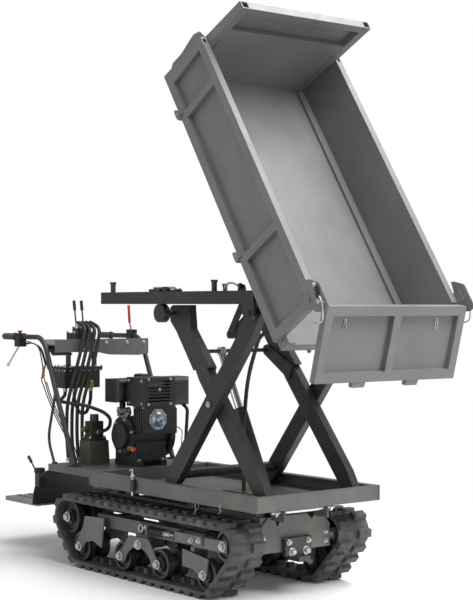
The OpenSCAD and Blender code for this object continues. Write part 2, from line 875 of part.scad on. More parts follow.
// Eight-sided pressed cover of the valve gear on the front of the cylinder
module valve_cover() {
    color(bright_zinc)
        on_engine()
            translate([engine_front - 6, -24, base_top + 235])
                rotate([0, 90, 0])
                    rotate(22.5) {
                        cylinder(h = 8, r = 54, $fn = 8);
                        translate([0, 0, 8])
                            cylinder(h = 10, r = 44, $fn = 8);
                        translate([0, 0, 18])
                            cylinder(h = 4, r = 16);
                    }
}

gearbox_x = [-330, -222];

// Tapered gear housing on the rear deck
module gearbox() {
    color(olive_paint)
        on_machine()
            slab(-205, -92)
                polygon([[gearbox_x[0], base_top], [gearbox_x[1], base_top], [gearbox_x[1] - 12, base_top + 118],
                    [gearbox_x[0] + 6, base_top + 118]]);
}

module hydraulic_pump() {
    z = base_top + 118;
    color(dark_paint)
        on_machine() {
            block([gearbox_x[0] + 14, -196, z], [gearbox_x[1] - 20, -100, z + 14]);
            block([gearbox_x[0] + 22, -184, z + 14], [gearbox_x[1] - 28, -112, z + 96]);
            translate([gearbox_x[0] + 52, -148, z + 96])
                cylinder(h = 34, r = 22);
            bar_across([gearbox_x[0] + 52, z + 58], -206, -184, 15);
        }
}

tank_z = [base_top + 372, base_top + 480];

// Hydraulic oil tank with bolted lid, hung from the console on two straps
module hydraulic_tank() {
    color(rubber_black)
        on_machine() {
            block([-556, -218, tank_z[0]], [-444, -6, tank_z[1] - 14]);
            block([-566, -228, tank_z[1] - 14], [-434, 4, tank_z[1]]);
            for (y = [-165, -8])
                block([-520, y, tank_z[1]], [-480, y + 6, console_z]);
            block([-446, -84, tank_z[0] + 12], [-424, -66, tank_z[0] + 30]);
            translate([-424, -75, tank_z[0] + 2])
                cylinder(h = 34, r = 13);
        }
}

// Shelf and apron between the handlebars
module console_plate() {
    edge = bar_y - bar_r - 0.5;
    color(frame_grey)
        on_machine() {
            block([console_x, -edge, console_z], [console_front, edge, console_z + plate_t]);
            slab(-edge, -168)
                polygon([[console_x - 16, console_z + 30], [console_front - 22, console_z - 44],
                    [console_front - 22, console_z - 50], [console_x - 16, console_z + 24]]);
            translate([console_front, 0, 0])
                rotate([90, 0, 90])
                    linear_extrude(plate_t)
                        polygon([[-edge, console_z + plate_t + 26], [edge, console_z + plate_t + 26],
                            [edge, console_z - 46], [edge - 60, console_z - 56], [40, console_z - 50],
                            [-40, console_z - 34], [-edge, console_z - 34]]);
        }
}

valve_x = -486;
valve_top = console_z + plate_t + 88;
lever_pitch = 44;

// Two-spool hydraulic valve with port bosses
module valve_block() {
    color(dark_paint)
        on_machine()
            difference() {
                union() {
                    block([valve_x - 32, valve_y - 62, console_z + plate_t],
                        [valve_x + 44, valve_y + 62, console_z + plate_t + 58]);
                    for (s = [-1, 1]) {
                        y = valve_y + s * lever_pitch / 2;
                        block([valve_x - 16, y - 15, console_z + plate_t + 58],
                            [valve_x + 16, y + 15, valve_top]);
                    }
                    for (i = [0:3])
                        translate([valve_x + 30, valve_y + (i - 1.5) * hose_pitch, console_z + plate_t + 58])
                            cylinder(h = 22, r = hose_r);
                }
                for (s = [-1, 1]) {
                    y = valve_y + s * lever_pitch / 2;
                    block([valve_x - 20, y - 7, valve_top - 24], [valve_x + 20, y + 7, valve_top + 5]);
                }
            }
    color(bright_zinc)
        on_machine()
            for (s = [-1, 1])
                bar_across([valve_x, lever_pin_z], valve_y + s * lever_pitch / 2 - 15,
                    valve_y + s * lever_pitch / 2 + 15, 3);
}

lever_pin_z = valve_top - 9;

// Spool lever: pin block in the valve's fork, thin shank and a long black grip
module valve_lever(s) {
    y = valve_y + s * lever_pitch / 2;
    base = [valve_x, lever_pin_z];
    lean = unit([-22, 130]);
    color(dark_paint)
        on_machine() {
            difference() {
                bar_across(base, y - 6.6, y + 6.6, 7);
                bar_across(base, y - 20, y + 20, 3 + pin_fit);
            }
            bar_along(base, lean, y, 5, 100, 4);
            bar_along(base, lean, y, 96, 146, 8);
        }
}

bar_route = [[-grip_back, 0, bar_z], [-552, 0, bar_z], [-498, 0, bar_z - 40],
    [-400, 0, base_top + 370], [-225, 0, base_top + 8]];
stay_route = [[-402, 0, base_top + 352], [-472, 0, base_top + 120], [-412, 0, base_top + 4]];

// Handlebar tubes with their stays and feet
module handlebars() {
    color(dark_paint)
        on_machine()
            both_sides()
                translate([0, bar_y, 0]) {
                    swept(rounded(bar_route, 70, 5), bar_r, 12);
                    swept(rounded(stay_route, 60, 4), 7, 8);
                    block([-252, -20, base_top], [-198, 20, base_top + 8]);
                    block([-432 + 16, -12, base_top], [-398, 12, base_top + 8]);
                }
}

module grips() {
    color(rubber_black)
        on_machine()
            both_sides()
                difference() {
                    translate([-grip_back - 6, bar_y, bar_z])
                        rotate([0, 90, 0])
                            union() {
                                cylinder(h = grip_len, r = grip_r);
                                translate([0, 0, grip_len - 6])
                                    cylinder(h = 6, r = grip_r + 4);
                            }
                    translate([-grip_back, bar_y, bar_z])
                        rotate([0, 90, 0])
                            cylinder(h = grip_len, r = bar_r + bar_fit);
                }
}

// Switch housing on the right handlebar and lever clamp on the left one
module handle_clamps() {
    color(rubber_black)
        on_machine()
            difference() {
                union() {
                    block([clamp_x - 26, -bar_y - 22, bar_z - 52], [clamp_x + 22, -bar_y + 22, bar_z + 18]);
                    block([red_x - 22, bar_y - 20, bar_z - 20], [red_x + 22, bar_y + 20, bar_z + 34]);
                }
                for (y = [-bar_y, bar_y])
                    translate([-grip_back, y, bar_z])
                        rotate([0, 90, 0])
                            cylinder(h = 345, r = bar_r + bar_fit);
                block([clamp_x - 40, -bar_y - 7, bar_z - 60], [clamp_x + 5, -bar_y + 7, bar_z - 28]);
                block([red_x - 30, bar_y - 6, bar_z + 18], [red_x + 30, bar_y + 6, bar_z + 40]);
                translate([clamp_x - 6, -bar_y, bar_z + 10])
                    cylinder(h = 20, r = 9.3);
            }
    color(bright_zinc)
        on_machine() {
            bar_across(hand_pin, -bar_y - 20, -bar_y + 20, 4);
            bar_across(red_pin, bar_y - 18, bar_y + 18, 3);
        }
}

module stop_button() {
    color(signal_red)
        on_machine()
            translate([clamp_x - 6, -bar_y, bar_z + 17.2]) {
                cylinder(h = 10, r = 9);
                translate([0, 0, 8])
                    cylinder(h = 7, r = 12);
            }
}

hand_pin = [clamp_x - 8, bar_z - 42];
hand_tip = [-872, base_top + 482];

// Clutch lever below the right grip, with a ball end
module hand_lever() {
    d = unit(hand_tip - hand_pin);
    color(bright_zinc)
        on_machine() {
            difference() {
                bar_across(hand_pin, -bar_y - 6.6, -bar_y + 6.6, 9);
                bar_across(hand_pin, -bar_y - 20, -bar_y + 20, 4 + pin_fit);
            }
            bar_along(hand_pin, d, -bar_y, 7, norm(hand_tip - hand_pin), 4.5);
            translate([hand_tip[0], -bar_y, hand_tip[1]])
                sphere(r = 8);
        }
}

red_pin = [red_x, bar_z + 27];

// Drive lever on the left handlebar, with a red sleeve
module drive_lever() {
    color(signal_red)
        on_machine() {
            difference() {
                bar_across(red_pin, bar_y - 5.6, bar_y + 5.6, 6.5);
                bar_across(red_pin, bar_y - 20, bar_y + 20, 3 + pin_fit);
            }
            bar_along(red_pin, unit([-18, 40]), bar_y, 5, 52, 4);
            bar_along(red_pin + 46 * unit([-18, 40]), unit([-4, 40]), bar_y, 0, 96, 7);
        }
}

shift_pin = [-580, base_top - 52];

// Gear change lever beside the rear guard
module shift_lever() {
    d = unit([-62, 58]);
    color(dark_paint)
        on_machine() {
            difference() {
                bar_across(shift_pin, -bar_y - 12, -bar_y - 0.3, 10);
                bar_across(shift_pin, -bar_y - 20, -bar_y + 1, 5 + pin_fit);
            }
            bar_along(shift_pin, d, -bar_y - 6, 7, 74, 4);
            bar_along(shift_pin, d, -bar_y - 6, 62, 100, 8);
        }
}

hose_r = 9;
hose_pitch = 24;
hose_routes = [for (i = [0:3]) [
    [valve_x + 30, valve_y + (i - 1.5) * hose_pitch, console_z + plate_t + 80.3],
    [valve_x + 30, valve_y + (i - 1.5) * hose_pitch, console_z + plate_t + 116],
    [-400 + i * 8, -120 + i * 24, console_z + 90],
    [-384 + i * 10, -170 + i * 26, console_z - 60],
    [-390 + i * 10, -238 + i * 24, base_top + 300],
    [-392 + i * 10, -240 + i * 24, base_top + 140],
    [-378 + i * 9, -236 + i * 24, base_top + 1.5]]];
suction_route = [[-476, -196, tank_z[0] - 0.3], [-476, -196, tank_z[0] - 36], [-430, -258, base_top + 310],
    [-345, -262, base_top + 306], [-290, -190, base_top + 294], [-255, -110, base_top + 260],
    [-226, -84, base_top + 228], [-220, -96, base_top + 178], [-228, -148, base_top + 160],
    [gearbox_x[1] - 27.7, -148, base_top + 160]];
return_route = [[-462, -150, tank_z[0] - 0.3], [-462, -150, tank_z[0] - 70], [-446, -128, base_top + 243],
    [-430, -98, base_top + 243], [-424, -75, base_top + 308], [-424, -75, tank_z[0] + 1.7]];

// Hydraulic hoses between the valve, the pump and the rear deck
module hoses() {
    color(rubber_black)
        on_machine()
            for (route = concat(hose_routes, [suction_route, return_route]))
                swept(rounded(route, 60, 4), hose_r, 8);
}

lift_hose_x = pivot_x - 308;
lift_hose_route = [[lift_hose_x, -125, tray_top + 0.3], [lift_hose_x - 6, -125, tray_top + 160],
    [lift_hose_x, -125, base_top + 300], [lift_hose_x + 26, -125, base_top + 480],
    [lift_hose_x + 110, -125, upper_z - 130], [lift_hose_x + 218, -125, upper_z - 120],
    [lift_hose_x + 220, -125, upper_z - 0.3]];

// Hose loop that feeds the upper frame, gathered up as the lift comes down
module lift_hose() {
    color(rubber_black)
        on_machine()
            swept(rounded(lift_hose_route, 80, 4), 9, 8);
}

axle_stub_r = 10;
lower_roller_r = rail_h / 2 - rail_wall - 0.5;
cross_at = 420;

// Outer scissor legs from the rear rollers up to the front of the upper frame
module outer_legs() {
    low = [rear_x, pivot_z];
    high = [pivot_x, top_z];
    mid = [center_x, center_z];
    cross = mid - cross_at * [cos(leg_angle), sin(leg_angle)];
    color(dark_paint)
        on_machine() {
            both_sides() {
                difference() {
                    slab(leg_out_y - leg_w, leg_out_y)
                        polygon(link_points(low, high, leg_end_r, leg_d / 2, 90));
                    bar_across(high, 0, half_w, pin_r + pin_fit);
                    bar_across(mid, 0, half_w, pin_r + pin_fit);
                }
                bar_across(low, leg_out_y, half_w - rail_wall - 3, axle_stub_r);
                bar_across(cross, -1, leg_out_y - leg_w + 1, 22);
            }
        }
}

// Inner scissor legs from the front of the base up to the rollers under the upper rails
module inner_legs() {
    low = [pivot_x, pivot_z];
    high = [rear_x, top_z];
    mid = [center_x, center_z];
    d = unit(high - low);
    neck = mid + 190 * d;
    color(dark_paint)
        on_machine() {
            both_sides() {
                difference() {
                    slab(leg_clear_y, leg_in_y)
                        union() {
                            polygon(link_points(low, neck + 60 * d, leg_end_r, leg_d / 2, 90));
                            polygon([high + [-30, -34], high + [-30, 24], high + [-10, 37], high + [112, 37],
                                high + [124, -70], neck + [66, 10], neck - [52, 8], high + [18, -82]]);
                        }
                    bar_across(low, 0, half_w, pin_r + pin_fit);
                }
                bar_across(mid, leg_in_y, leg_out_y + 6, pin_r);
                bar_across(high, leg_in_y, half_w, axle_stub_r);
                lift_arm(neck);
            }
            bar_across(lift_eye, -leg_clear_y, leg_clear_y, eye_pin_r);
        }
}

// Plate on an inner leg that carries the lift cylinder's upper pin
module lift_arm(neck) {
    slab(leg_clear_y - 12, leg_clear_y)
        polygon(concat(arc(lift_eye, 26, 60, 250, 10), [neck + [30, -60], neck + [50, 10]]));
}

// Rollers that run in the base channels
module lower_rollers() {
    color(bright_zinc)
        on_machine()
            both_sides()
                difference() {
                    bar_across([rear_x, pivot_z], rail_in + 3, half_w - rail_wall - 3, lower_roller_r);
                    bar_across([rear_x, pivot_z], 0, half_w + 10, axle_stub_r + pin_fit);
                }
}

// Rollers that run under the upper rails
module upper_rollers() {
    color(bright_zinc)
        on_machine()
            both_sides()
                difference() {
                    bar_across([rear_x, top_z], rail_in + 4, half_w - 2, upper_roller_r);
                    bar_across([rear_x, top_z], 0, half_w + 10, axle_stub_r + pin_fit);
                }
}

upper_front = pivot_x + 36;
tip_cross_x = pivot_x - 517;

// Upper frame with rails, cross members, leg brackets, skip hinge and tipping cylinder bracket
module upper_frame() {
    color(dark_paint)
        on_machine() {
            both_sides() {
                block([upper_x, rail_in, upper_z], [upper_front, half_w, upper_z + upper_h]);
                leg_bracket();
                hinge_lugs();
            }
            for (x = [upper_x, tip_cross_x, pivot_x - 108])
                block([x, -rail_in, upper_z], [x + rail_w, rail_in, upper_z + upper_h]);
            tip_bracket();
        }
}

// Plate under a rail's front end, with the pin of the outer leg
module leg_bracket() {
    slab(half_w - 16, half_w - 4)
        polygon(concat([[pivot_x - 44, upper_z], [pivot_x - 44, top_z]], arc([pivot_x, top_z], 34, 200, 340, 8),
            [[upper_front, upper_z]]));
    bar_across([pivot_x, top_z], leg_out_y - leg_w - 4, half_w + 2, pin_r);
}

hinge_ear_y = rail_in - 34;
hinge_ear_w = 14;

// Pair of lugs ahead of the front cross member, with the skip's hinge pin between them
module hinge_lugs() {
    for (y = [hinge_ear_y - 12, hinge_ear_y + hinge_ear_w + 2])
        slab(y, y + 10)
            polygon(concat([[pivot_x - 68, upper_z + 2], [pivot_x - 68, upper_z + upper_h - 2]],
                arc([pivot_x, hinge_z], 22, 80, -80, 10)));
    bar_across([pivot_x, hinge_z], hinge_ear_y - 14, rail_in, hinge_r);
}

// Fork hung from the middle cross member for the foot of the tipping cylinder
module tip_bracket() {
    for (s = [-1, 1])
        slab(tip_y + s * (tip_r + 6) - 4, tip_y + s * (tip_r + 6) + 4)
            polygon(concat([[tip_cross_x + rail_w, upper_z]], [[tip_cross_x, upper_z]],
                arc(tip_foot, eye_r, 120, 300, 10)));
    bar_across(tip_foot, tip_y - tip_r - 14, tip_y + tip_r + 14, eye_pin_r);
}

// Pegs on the upper rails that carry the lowered skip
module buffers() {
    color(rubber_black)
        on_machine()
            both_sides()
                for (x = [upper_x + 74, upper_x + 850])
                    translate([x, half_w - rail_w / 2, upper_z + upper_h]) {
                        cylinder(h = peg_h - 10, r = 12);
                        translate([0, 0, peg_h - 10])
                            cylinder(h = 10, r = 15);
                    }
}

// Barrel with a foot eye as wide as itself; the rod slides in its gland
module barrel(foot, d, y, r, rod_r, length) {
    difference() {
        union() {
            bar_along(foot, d, y, 0, length, r);
            bar_across(foot, y - r - 1, y + r + 1, eye_r);
        }
        bar_along(foot, d, y, eye_r + 14, length - 14, rod_r + 6.4);
        bar_along(foot, d, y, length - 20, length + 5, rod_r + pin_fit);
    }
}

module tilt_barrel() {
    color(frame_grey)
        on_machine()
            difference() {
                barrel(tip_foot, tip_dir, tip_y, tip_r, tip_rod_r, tip_len);
                bar_across(tip_foot, tip_y - 60, tip_y + 60, eye_pin_r + pin_fit);
            }
}

module tilt_rod() {
    color(bright_zinc)
        on_machine() {
            bar_along(tip_foot, tip_dir, tip_y, tip_span - 310, tip_span, tip_rod_r);
            bar_along(tip_foot, tip_dir, tip_y, tip_span - 322, tip_span - 305, tip_rod_r + 6);
            bar_across(tip_eye, tip_y - eye_w / 2, tip_y + eye_w / 2, eye_r);
            bar_across(tip_eye, tip_y - eye_w / 2 - 16, tip_y + eye_w / 2 + 16, eye_pin_r);
        }
}

module lift_barrel() {
    color(frame_grey)
        on_machine() {
            barrel(lift_foot, lift_dir, lift_y, lift_r, lift_rod_r, lift_len);
            bar_across(lift_foot, lift_y - lift_r - 16, lift_y + lift_r + 16, eye_pin_r);
        }
}

module lift_rod() {
    color(bright_zinc)
        on_machine()
            difference() {
                union() {
                    bar_along(lift_foot, lift_dir, lift_y, lift_span - 420, lift_span, lift_rod_r);
                    bar_along(lift_foot, lift_dir, lift_y, lift_span - 440, lift_span - 415, lift_rod_r + 6);
                    bar_across(lift_eye, lift_y - eye_w / 2, lift_y + eye_w / 2, eye_r);
                }
                bar_across(lift_eye, lift_y - 60, lift_y + 60, eye_pin_r + pin_fit);
            }
}

// Floor of the skip: sheet on long and cross beams, side sills, hinge ears and drop-side hinges
module skip_floor() {
    color(skip_grey)
        on_skip() {
            block([-floor_len, -sill_out + sill_w, floor_h], [0, sill_out - sill_w, floor_h + sheet_t]);
            both_sides() {
                block([-floor_len, sill_out - sill_w, 0], [0, sill_out, floor_h + 20]);
                block([-floor_len, 190, 0], [0, 230, floor_h]);
                skip_hinge_ear();
                for (x = drop_at)
                    drop_hinge(x);
            }
            for (x = [-floor_len, -960, -540, -50])
                block([x, -sill_out + sill_w, 0], [x + 50, sill_out - sill_w, floor_h]);
            tip_lugs();
            for (y = [-190, -110, 110, 190])
                gate_hook(y);
        }
}

// Ear that hangs below a sill and turns on the upper frame's hinge pin
module skip_hinge_ear() {
    difference() {
        slab(hinge_ear_y, hinge_ear_y + hinge_ear_w)
            polygon(concat([[-hinge_set - 70, 0]], arc([-hinge_set, -hinge_drop], 22, 200, 340, 10),
                [[-hinge_set + 70, 0]]));
        bar_across([-hinge_set, -hinge_drop], 0, half_skip, hinge_r + pin_fit);
    }
    block([-hinge_set - 70, hinge_ear_y - 20, 0], [-hinge_set + 70, sill_out - sill_w, floor_h]);
}

drop_ear_gap = 28;

// Two arms under a sill with the pin of a drop-side hinge between them
module drop_hinge(x) {
    for (dx = [-drop_ear_gap / 2 - 8, drop_ear_gap / 2])
        translate([x + dx, 0, 0])
            rotate([90, 0, 90])
                linear_extrude(8)
                    union() {
                        polygon([[sill_out - 30, -8], [drop_axis_y, drop_axis_z - 8], [drop_axis_y, drop_axis_z + 4],
                            [sill_out - 30, 0]]);
                        translate([drop_axis_y, drop_axis_z])
                            circle(r = 8);
                    }
    translate([x - drop_ear_gap / 2 - 8, drop_axis_y, drop_axis_z])
        rotate([0, 90, 0])
            cylinder(h = drop_ear_gap + 16, r = drop_pin_r);
}

// Slotted ears for the head of the tipping cylinder
module tip_lugs() {
    head = [-hinge_set - tip_arm, tip_rise - hinge_drop];
    for (s = [-1, 1])
        difference() {
            slab(tip_y + s * (eye_w / 2 + 8) - 4, tip_y + s * (eye_w / 2 + 8) + 4)
                polygon(concat([[head[0] + 52, 0], [head[0] - 52, 0]], arc(head, eye_slot_r + 9, 180, 360, 14)));
            bar_across(head, tip_y - 60, tip_y + 60, eye_slot_r);
        }
    block([head[0] - 60, tip_y - 40, 0], [head[0] + 60, tip_y + 40, floor_h]);
}

// Hook under the floor's front edge for the tailgate's feet
module gate_hook(y) {
    slab(y - 6, y + 6)
        polygon([[-44, 0], [-44, -14], [-30, -34], [-6, -34], [-6, -24], [-22, -22], [-26, -12], [-12, 0]]);
}

head_top = side_h + head_rise;
head_d = 40;
head_foot = floor_h + 20;
gusset = [[10, -2], [60, 30], [130, 32], [190, 46], [245, 58], [285, 46], [305, -2]];

// Point of the headboard's outline at height z and depth behind its inner face; it leans above its foot
function head_point(z, depth) = [
    -floor_len - depth + head_lean * max(0, z - head_foot) / (head_top - head_foot), z];

// Headboard between the drop sides: open-ended posts with gussets, sheet, cross tubes and recessed panel
module headboard() {
    post_out = sill_out - 1;
    post_in = post_out - 40;
    tube_low = head_top - 190;
    tube_high = head_top - 40;
    color(skip_grey)
        on_skip() {
            both_sides()
                difference() {
                    union() {
                        slab(post_in, post_out)
                            polygon([head_point(0, 0), head_point(head_foot, 0), head_point(head_top, 0),
                                head_point(head_top, head_d), head_point(head_foot, head_d),
                                head_point(0, head_d)]);
                        slab(post_out - 6, post_out)
                            polygon([for (p = gusset) head_point(p[0], head_d + p[1])]);
                    }
                    slab(post_in + 5, post_out - 5)
                        polygon([head_point(head_top - 60, 5), head_point(head_top + 5, 5),
                            head_point(head_top + 5, head_d - 5), head_point(head_top - 60, head_d - 5)]);
                }
            slab(-post_in, post_in)
                polygon([head_point(0, 1), head_point(head_foot, 1), head_point(tube_low + 40, 1),
                    head_point(tube_low + 40, 32), head_point(tube_high, 32), head_point(tube_high, 1),
                    head_point(head_top - 0.5, 1),
                    head_point(head_top - 0.5, head_d - 1), head_point(tube_low, head_d - 1),
                    head_point(tube_low, 1 + sheet_t), head_point(head_foot, 1 + sheet_t),
                    head_point(40, 1 + sheet_t), head_point(40, head_d - 1),
                    head_point(0, head_d - 1)]);
        }
}

side_low = 12;
frame_w = 40;
rib_at = [-1190, -440];
rib_w = 36;

// Drop side: tube frame, inner sheet, two ribs, hinge eyes and the tailgate's latch plate
module drop_side() {
    inner = half_skip - side_t;
    rear = [for (z = [side_low, side_h]) head_point(z, head_d - 10)[0]];
    slab(inner, inner + sheet_t)
        polygon([[rear[0], side_low], [-side_front, side_low], [-side_front, side_h], [rear[1], side_h]]);
    difference() {
        slab(inner + sheet_t, half_skip)
            polygon([[rear[0], side_low], [-side_front, side_low], [-side_front, side_h], [rear[1], side_h]]);
        slab(inner + sheet_t - 0.001, half_skip + 1)
            for (bay = [[rear[1] + frame_w, rib_at[0]], [rib_at[0] + rib_w, rib_at[1]],
                [rib_at[1] + rib_w, -side_front - frame_w]])
                translate([bay[0], side_low + frame_w])
                    square([bay[1] - bay[0], side_h - side_low - 2 * frame_w]);
        translate([rear[1] + 8, inner + 11, side_h - 30])
            cube([24, side_t - 16, 40]);
    }
    for (x = drop_at)
        drop_eye(x);
    latch_plate();
}

// Hinge eye on the outside of a drop side
module drop_eye(x) {
    width = drop_ear_gap - 1;
    translate([x - width / 2, 0, 0])
        rotate([90, 0, 90])
            difference() {
                linear_extrude(width)
                    union() {
                        translate([half_skip, side_low])
                            square([drop_axis_y - half_skip, 26]);
                        polygon([[half_skip, side_low + 4], [half_skip, drop_axis_z], [drop_axis_y, drop_axis_z],
                            [drop_axis_y, side_low + 4]]);
                        translate([drop_axis_y, drop_axis_z])
                            circle(r = 9.5);
                    }
                translate([drop_axis_y, drop_axis_z, -1])
                    cylinder(h = width + 2, r = drop_pin_r + pin_fit);
            }
}

latch_t = 5;

// Plate at the front top corner, drilled for the tailgate's hinge stub
module latch_plate() {
    difference() {
        slab(half_skip, half_skip + latch_t)
            polygon(concat([[-side_front - 52, gate_pin_z - 38], [-side_front + 4, gate_pin_z - 44]],
                arc([-gate_pin_back, gate_pin_z], 18, -80, 60, 8),
                [[-side_front + 6, gate_pin_z + 42], [-side_front - 40, gate_pin_z + 40]]));
        bar_across([-gate_pin_back, gate_pin_z], 0, half_skip + 20, gate_pin_r + pin_fit);
    }
    translate([-side_front - 22, half_skip + latch_t, gate_pin_z - 16])
        rotate([-90, 0, 0])
            cylinder(h = 7, r = 9, $fn = 6);
    translate([-side_front - 14, half_skip + latch_t, gate_pin_z + 22])
        rotate([-90, 0, 0])
            cylinder(h = 7, r = 9, $fn = 6);
}

module side_left() {
    color(skip_grey)
        on_skip()
            drop_side();
}

module side_right() {
    color(skip_grey)
        on_skip()
            mirror([0, 1, 0])
                drop_side();
}

gate_side = half_skip - 9;
gate_frame = 40;

// Local frame of the tailgate: origin on its hinge axis, Z up along the gate
module on_gate() {
    on_machine()
        translate([gate_pivot[0], 0, gate_pivot[1]])
            rotate([0, gate_hang, 0])
                children();
}

// Tailgate: ribbed frame, inner sheet, hinge stubs and the feet that drop into the floor's hooks
module tailgate() {
    inner = gate_set - gate_t / 2;
    low = gate_over - gate_h;
    color(skip_grey)
        on_gate() {
            difference() {
                block([inner, -gate_side, low], [inner + gate_t, gate_side, gate_over]);
                for (s = [-1, 1])
                    block([inner + sheet_t, s > 0 ? gate_frame / 2 : -gate_side + gate_frame,
                            low + gate_frame],
                        [inner + gate_t + 1, s > 0 ? gate_side - gate_frame : -gate_frame / 2,
                            gate_over - gate_frame]);
            }
            both_sides() {
                slab(gate_side - 12, gate_side)
                    polygon(concat(arc([0, 0], 12, 90, 270, 10), [[inner, -14], [inner, 12]]));
                bar_across([0, 0], gate_side, half_skip + latch_t - 1, gate_pin_r);
            }
            for (y = [-150, 150])
                slab(y - 34, y + 34)
                    polygon([[inner + 2, low], [inner + gate_t - 2, low], [inner + gate_t - 6, low - 24],
                        [inner + 6, low - 24]]);
        }
}

chassis();
deck_frame();
deck_plate();
tow_hitch();
front_shaft();
step_plate();
rear_guard();
track(-1);  // track_right
track(1);  // track_left
sprocket(-1);  // sprocket_right
sprocket(1);  // sprocket_left
idler(-1);  // idler_right
idler(1);  // idler_left
roller(-1, 0);  // roller_right_1
roller(-1, 1);  // roller_right_2
roller(-1, 2);  // roller_right_3
roller(-1, 3);  // roller_right_4
roller(1, 0);  // roller_left_1
roller(1, 1);  // roller_left_2
roller(1, 2);  // roller_left_3
roller(1, 3);  // roller_left_4
bogie(-1);  // bogie_right
bogie(1);  // bogie_left
track_frames();
gearbox();
engine_block();
fuel_tank();
muffler_guard();
air_cleaner();
valve_cover();
hydraulic_pump();
hydraulic_tank();
console_plate();
valve_block();
valve_lever(-1);  // valve_lever_1
valve_lever(1);  // valve_lever_2
handlebars();
grips();
handle_clamps();
stop_button();
hand_lever();
drive_lever();
shift_lever();
hoses();
lift_hose();
outer_legs();
inner_legs();
lower_rollers();
upper_rollers();
upper_frame();
buffers();
tilt_barrel();
tilt_rod();
lift_barrel();
lift_rod();
skip_floor();
headboard();
side_right();
side_left();
tailgate();
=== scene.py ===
import json
import math

import bmesh
import bpy
from mathutils import Matrix, Vector


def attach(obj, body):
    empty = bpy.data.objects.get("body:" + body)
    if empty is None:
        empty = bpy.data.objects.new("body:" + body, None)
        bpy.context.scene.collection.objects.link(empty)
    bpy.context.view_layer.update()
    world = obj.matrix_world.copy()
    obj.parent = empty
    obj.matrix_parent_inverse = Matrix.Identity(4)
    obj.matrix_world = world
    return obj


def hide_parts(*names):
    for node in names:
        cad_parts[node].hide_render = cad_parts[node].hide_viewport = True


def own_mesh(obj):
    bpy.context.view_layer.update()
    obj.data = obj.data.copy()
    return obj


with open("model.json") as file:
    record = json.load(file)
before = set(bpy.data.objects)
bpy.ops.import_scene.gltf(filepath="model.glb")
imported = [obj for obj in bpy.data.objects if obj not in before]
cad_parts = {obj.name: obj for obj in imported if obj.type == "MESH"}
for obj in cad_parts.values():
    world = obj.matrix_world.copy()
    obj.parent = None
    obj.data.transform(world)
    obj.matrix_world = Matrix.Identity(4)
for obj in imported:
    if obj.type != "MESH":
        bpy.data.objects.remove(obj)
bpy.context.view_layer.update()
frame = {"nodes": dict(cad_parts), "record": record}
NODES = frame["nodes"]

# Places on the machine
# The solids' source counts X from the rear end of the base frame, in millimetres.
X_MID = 381.1352
BASE_TOP = 462.0
TRAY_TOP = 402.0
TILT = math.radians(57.1)
HINGE = (1198.0, 1297.49)
HINGE_SET, HINGE_DROP = 313.0, 69.0
UPPER_Z = 1262.49
GATE = (1675.267, 1250.134)
GATE_HANG = math.radians(14.5)
ENGINE_Y = 26.0


def at(x, y, z):
    """Machine millimetres to the row frame in metres."""
    return Vector(((x - X_MID) / 1000, y / 1000, z / 1000))


def on_engine(x, y, z):
    """Engine's millimetres, counted across from its mounting line, to the row frame."""
    return at(x, y + ENGINE_Y, z)


def on_skip(x, y, z):
    """Skip's own millimetres (front end of the underside, X along the floor) to the row frame."""
    c, s = math.cos(TILT), math.sin(TILT)
    u, w = x + HINGE_SET, z + HINGE_DROP
    return at(HINGE[0] + u * c + w * s, y, HINGE[1] - u * s + w * c)


def on_gate(x, y, z):
    """Tailgate's own millimetres (hinge axis) to the row frame."""
    c, s = math.cos(GATE_HANG), math.sin(GATE_HANG)
    return at(GATE[0] + x * c + z * s, y, GATE[1] - x * s + z * c)


# Materials
def srgb(hex_code):
    """Linear RGBA of an sRGB colour code."""
    out = []
    for i in (1, 3, 5):
        v = int(hex_code[i:i + 2], 16) / 255
        out.append(v / 12.92 if v <= 0.04045 else ((v + 0.055) / 1.055) ** 2.4)
    return (*out, 1.0)


